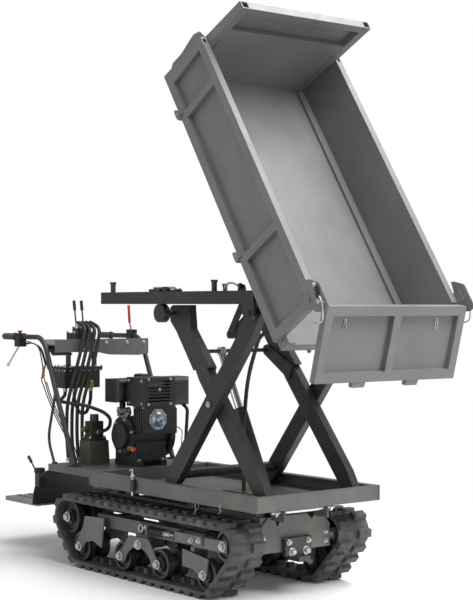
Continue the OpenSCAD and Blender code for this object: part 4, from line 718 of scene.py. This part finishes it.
# Recoil starter on the blower side, with its slots and pull handle
bm = bmesh.new()
lathe(bm, on_engine(E - 165, 118, 612), (0, 1, 0), [(0.096, 0), (0.096, 0.012), (0.090, 0.018),
                                                    (0.060, 0.022), (0.040, 0.030),
                                            (0.010, 0.032)], 40)
for k in range(14):
    a = 2 * math.pi * k / 14
    mid = on_engine(E - 165 + 76 * math.cos(a), 138, 612 + 76 * math.sin(a))
    along = Vector((-math.sin(a), 0, math.cos(a)))
    tube(bm, [mid - along * 0.012, mid + along * 0.012], 0.003, 8)
grip = on_engine(E - 128, 150, 690)
tube(bm, [grip - Vector((0.026, 0, 0)), grip + Vector((0.026, 0, 0))], 0.0085, 14,
     taper=lambda t: 0.8 + 0.3 * abs(2 * t - 1))
tube(bm, [on_engine(E - 128, 134, 672), grip], 0.004, 8)
add("recoil_starter", bm, "black_plastic", "base", True)

# Carburettor, choke and throttle rods between the tank and the cylinder
bm = bmesh.new()
lathe(bm, on_engine(-92, -92, 730), (0, -1, 0), [(0.024, 0), (0.024, 0.006), (0.019, 0.008), (0.019, 0.030),
                                                 (0.013, 0.033),
                                         (0.013, 0.044)], 24)
lathe(bm, on_engine(-92, -112, 714), (0, 0, -1), [(0.019, 0), (0.019, 0.022), (0.015, 0.028),
                                                  (0.005, 0.030)], 24)
bolt(bm, on_engine(-92, -112, 684), (0, 0, -1), 0.006, 0.008)
box(bm, on_engine(-128, -138, 706), on_engine(-106, -104, 754), 0.003)
add("carburettor", bm, "dull_metal", "base", True)
bm = bmesh.new()
tube(bm, [on_engine(-120, -140, 718), on_engine(-84, -138, 706), on_engine(-46, -128, 731)], 0.0022, 8)
tube(bm, [on_engine(-114, -140, 746), on_engine(-60, -136, 742), on_engine(-40, -112, 738)], 0.0018, 8)
plate(bm, [(-62, 702), (-36, 726), (-40, 732), (-68, 710)], 4, lambda a, b, c: on_engine(a, -126 - c, b))
plate(bm, [(-128, 728), (-104, 738), (-104, 754), (-120, 754)], 3,
      lambda a, b, c: on_engine(a, -140 - c, b))
coil = [on_engine(-100 + 44 * k / 90, -142 + 3.4 * math.cos(k * 0.9),
                  734 + 3.4 * math.sin(k * 0.9)) for k in range(91)]
tube(bm, coil, 0.0009, 6)
add("throttle_linkage", bm, "zinc_steel", "base", True)

bm = bmesh.new()
tube(bm, curve_points([on_engine(E - 40, -40, 716), on_engine(E + 2, -112, 700),
                       on_engine(E - 10, -128, 650), on_engine(E - 60, -126, 640),
                       on_engine(-80, -118, 660)], 0.03, 8), 0.0035, 10)
tube(bm, curve_points([on_engine(20, 150, 768), on_engine(46, 168, 742), on_engine(50, 152, 560),
                       on_engine(44, 150, 486),
                       on_engine(30, 150, 464)], 0.03, 8), 0.0085, 14)
tube(bm, curve_points([on_engine(40, 94, 660), on_engine(70, 118, 640), on_engine(76, 106, 540),
                       on_engine(66, 96, 464)],
                      0.03, 8), 0.0025, 8)
add("engine_leads", bm, "hose_rubber", "base", True)

bm = bmesh.new()
lathe(bm, on_engine(-22, -106, 540), (0.35, -0.75, 0.55), [(0.007, 0), (0.007, 0.010), (0.013, 0.011),
                                                           (0.013, 0.020),
                                                   (0.010, 0.023), (0.004, 0.024)], 20)
box(bm, on_engine(-27, -128, 552), on_engine(-17, -118, 564), 0.002)
add("oil_dipstick", bm, "orange_plastic", "base", True)

bm = bmesh.new()
lathe(bm, on_engine(-165, 32, 889), (0, 0, 1), [(0.030, 0), (0.030, 0.003), (0.034, 0.004), (0.034, 0.018),
                                                (0.030, 0.022),
                                        (0.008, 0.024)], 36)
for k in range(18):
    a = 2 * math.pi * k / 18
    foot = on_engine(-165 + 34 * math.cos(a), 32 + 34 * math.sin(a), 894)
    tube(bm, [foot, foot + Vector((0, 0, 0.012))], 0.002, 6)
add("fuel_cap", bm, "black_plastic", "base", True)
bm = bmesh.new()
seam = [on_engine(x, y, 833) for x, y in ((-238.6, -118), (-238.6, 42), (-210, 74.6), (-124, 74.6),
                                          (-95.4, 42),
                                          (-95.4, -118), (-124, -150.6), (-210, -150.6), (-238.6, -118))]
tube(bm, curve_points(seam, 0.028, 6), 0.0028, 8)
add("tank_seam", bm, "engine_black", "base", True)

# Hydraulics, cables and fittings of skip and frame
TANK_TOP = BASE_TOP + 480
bm = bmesh.new()
for y in range(-222, 1, 37):
    bolt(bm, at(-439, y, TANK_TOP), (0, 0, 1), 0.0055, 0.007)
    bolt(bm, at(-561, y, TANK_TOP), (0, 0, 1), 0.0055, 0.007)
for x in (-530, -500, -470):
    bolt(bm, at(x, -223, TANK_TOP), (0, 0, 1), 0.0055, 0.007)
for y in (-222, -185, -148, -111, -74, -37, 0):
    bolt(bm, at(-439, y, TANK_TOP - 14), (0, 0, -1), 0.0055, 0.007)
for x in (-550, -520, -490, -460):
    bolt(bm, at(x, -223, TANK_TOP - 14), (0, 0, -1), 0.0055, 0.007)
for y in (-190, -106):
    for x in (-308, -250):
        bolt(bm, at(x, y, BASE_TOP + 132), (0, 0, 1), 0.006, 0.008)
for y, z in ((-120, 1030), (20, 1064), (150, 1064), (255, 1064)):
    bolt(bm, at(-424, y, z), (1, 0, 0), 0.007, 0.009)
for x in (-516, -452):
    for y in (-156, -44):
        bolt(bm, at(x, y, CONSOLE_Z + 64), (0, 0, 1), 0.006, 0.008)
add("hydraulic_bolts", bm, "zinc_steel", "base")

bm = bmesh.new()
lathe(bm, at(-444, -75, 855), (1, 0, 0), [(0.0160, 0), (0.0160, 0.008), (0.0134, 0.009), (0.0134, 0.020)],
      24)
lathe(bm, at(-424, -75, 872), (0, 0, -1), [(0.004, -0.002), (0.0125, 0), (0.0137, 0.002), (0.0137, 0.024),
                                          (0.0150, 0.025), (0.0150, 0.0365)], 24)
lathe(bm, at(-250, -148, 622), (1, 0, 0), [(0.0135, 0), (0.0135, 0.010), (0.0118, 0.011), (0.0118, 0.020)],
      6)
lathe(bm, at(-278, -206, 638), (0, -1, 0), [(0.013, 0), (0.013, 0.009), (0.009, 0.010), (0.009, 0.016)], 6)
lathe(bm, at(-316, -170, 594), (0, 0, 1), [(0.010, 0), (0.010, 0.012), (0.007, 0.013), (0.007, 0.022)], 6)
box(bm, at(975, -212, TRAY_TOP), at(1001, -186, TRAY_TOP + 30), 0.003)
lathe(bm, at(988, -199, TRAY_TOP + 28), (0, 0, 1), [(0.010, 0), (0.010, 0.012), (0.0075, 0.013),
                                                    (0.0075, 0.024)], 6)
lathe(bm, at(975, -199, TRAY_TOP + 15), (-1, 0, 0), [(0.010, 0), (0.010, 0.010), (0.0075, 0.011),
                                                     (0.0075, 0.016)], 6)
for x, z in ((-552, 880), (-536, 890)):
    lathe(bm, at(x, -288, z), (0.22, 0, 1), [(0.0035, 0), (0.006, 0.002), (0.006, 0.014), (0.0038, 0.015),
                                             (0.0038, 0.050),
                                            (0.006, 0.051), (0.006, 0.060), (0.003, 0.062)], 12)
add("brass_fittings", bm, "brass", "base", True)

bm = bmesh.new()
tube(bm, curve_points([at(959, -199, TRAY_TOP + 15), at(900, -206, TRAY_TOP + 12),
                       at(640, -222, TRAY_TOP + 9),
                       at(300, -230, TRAY_TOP + 9), at(60, -226, TRAY_TOP + 9)], 0.06, 8), 0.0085, 14)
add("hose_loops", bm, "hose_rubber", "base", True)

# Clutch and brake cables along the right handlebar
bm = bmesh.new()
for k, (start, low) in enumerate((((-722, 1052), (-552, 942)), ((-722, 1060), (-536, 952)),
                                  ((-716, 1070), (-520, 930)))):
    y = -290 + 6 * k
    tube(bm, curve_points([at(start[0], y, start[1]), at(-640, y, 1066 - 4 * k), at(-572, y, 1040),
                           at(low[0] + 13, y, low[1])],
                          0.05, 8), 0.0032, 10)
    tube(bm, curve_points([at(low[0] - 2, y, low[1] - 64), at(-500 + 8 * k, y, 800),
                           at(-420 + 8 * k, y + 4, 690),
                           at(-300, -262 + 8 * k, 540), at(-282 + 6 * k, -258 + 8 * k, 464)], 0.08, 8),
         0.0028, 10)
add("control_cables", bm, "hose_rubber", "base", True)

# Latch of the tailgate at the front top corner of each drop side
for side, body in ((-1, "side_right"), (1, "side_left")):
    bm = bmesh.new()
    plate(bm, [(-128, 322), (-120, 338), (-84, 374), (-74, 379), (26, 378), (35, 370), (34, 345), (8, 300),
               (-2, 297)],
          4.5, lambda a, b, c: on_skip(a, side * (406.3 + c), b), 0.0012)
    lathe(bm, on_skip(4, side * 411, 358), (0, side, 0), [(0.011, 0), (0.011, 0.004), (0.006, 0.005),
                                                          (0.004, 0.006)], 20)
    add("gate_latch_" + body, bm, "skip_paint", body)
    bm = bmesh.new()
    for x, z in ((-88, 352), (-20, 336)):
        bolt(bm, on_skip(x, side * 411, z), (0, side, 0), 0.008, 0.006)
    rod = [on_skip(x, side * 415, z) for x, z in ((-30, 356), (-8, 356), (18, 352), (58, 322), (60, 300),
                                                  (34, 262))]
    tube(bm, curve_points(rod, 0.012, 6), 0.0035, 12)
    add("gate_hook_" + body, bm, "zinc_steel", body, True)
    # Two flat black discs on each latch plate stand for its slot: painted shade where the opening shows
    # dark.
    bm = bmesh.new()
    for x, z in ((-62, 356), (-42, 350)):
        lathe(bm, on_skip(x, side * 410.7, z), (0, side, 0), [(0.015, 0), (0.015, 0.0015), (0.003, 0.002)],
              24)
    add("gate_slot_shade_" + body, bm, "engine_black", body)

# Latch, locking lever and cable stops on the near rail of the upper frame
RAIL_TOP = UPPER_Z + 55
bm = bmesh.new()
box(bm, at(483, -352, RAIL_TOP), at(560, -318, RAIL_TOP + 12), 0.002)
box(bm, at(580, -348, RAIL_TOP), at(612, -322, RAIL_TOP + 22), 0.002)
box(bm, at(640, -352, RAIL_TOP), at(694, -318, RAIL_TOP + 9), 0.002)
plate(bm, [(1109, 0), (1112, 14), (1124, 26), (1150, 26), (1159, 12), (1159, 0)], 6,
      lambda a, b, c: at(a, -338 + c, RAIL_TOP + b), 0.001)
add("rail_latch", bm, "dark_paint", "upper_frame")
bm = bmesh.new()
tube(bm, curve_points([at(500, -335, RAIL_TOP + 17), at(660, -335, RAIL_TOP + 17),
                       at(676, -335, RAIL_TOP + 8)], 0.01, 6),
     0.005, 12)
tube(bm, curve_points([at(1012, -335, RAIL_TOP), at(1030, -335, RAIL_TOP + 30),
                       at(1067, -335, RAIL_TOP + 34),
                       at(1124, -335, RAIL_TOP + 18)], 0.014, 6), 0.0045, 12)
for x in (500, 545, 652, 684):
    bolt(bm, at(x, -326, RAIL_TOP + (12 if x < 600 else 9)), (0, 0, 1), 0.0055, 0.006)
add("rail_lever", bm, "zinc_steel", "upper_frame", True)
bm = bmesh.new()
lathe(bm, at(1137, -338, RAIL_TOP + 20), (0, -1, 0), [(0.006, 0), (0.011, 0.002), (0.012, 0.010),
                                                      (0.009, 0.016),
                                                   (0.003, 0.018)], 20)
add("rail_knob", bm, "black_plastic", "upper_frame", True)

# Bolts on the scissor's middle pins
SCISSOR = (880.9, 318.0, 826.35)
bm = bmesh.new()
for side in (-1, 1):
    bolt(bm, at(SCISSOR[0], side * SCISSOR[1], SCISSOR[2]), (0, side, 0), 0.010, 0.007, 1.4)
add("scissor_bolts", bm, "zinc_steel", "inner_legs")

# Spring clips that hang on the tailgate
GATE_SHEET = 30.0
bm = bmesh.new()
for y in (-265, 250):
    clip = [on_gate(GATE_SHEET + 4, y - 6, -85), on_gate(GATE_SHEET + 4, y - 6, -50),
            on_gate(GATE_SHEET + 4, y, -40),
            on_gate(GATE_SHEET + 4, y + 6, -50), on_gate(GATE_SHEET + 4, y + 4, -62),
            on_gate(GATE_SHEET + 4, y + 8, -70),
            on_gate(GATE_SHEET + 4, y + 5, -88)]
    tube(bm, curve_points(clip, 0.005, 5), 0.002, 8)
    bolt(bm, on_gate(GATE_SHEET, y, -42), (math.cos(GATE_HANG), 0, -math.sin(GATE_HANG)), 0.005, 0.006)
add("gate_clips", bm, "zinc_steel", "tailgate", True)

# Weld beads where the headboard meets the floor and at the corners of the drop sides
bm = bmesh.new()
weld(bm, [on_skip(-1382, -322, 46), on_skip(-1382, 322, 46)])
for side in (-1, 1):
    weld(bm, [on_skip(-1380, side * 327, 80), on_skip(-1350, side * 327, 340)], 0.003)
add("skip_welds", bm, "skip_paint", "skip", True)
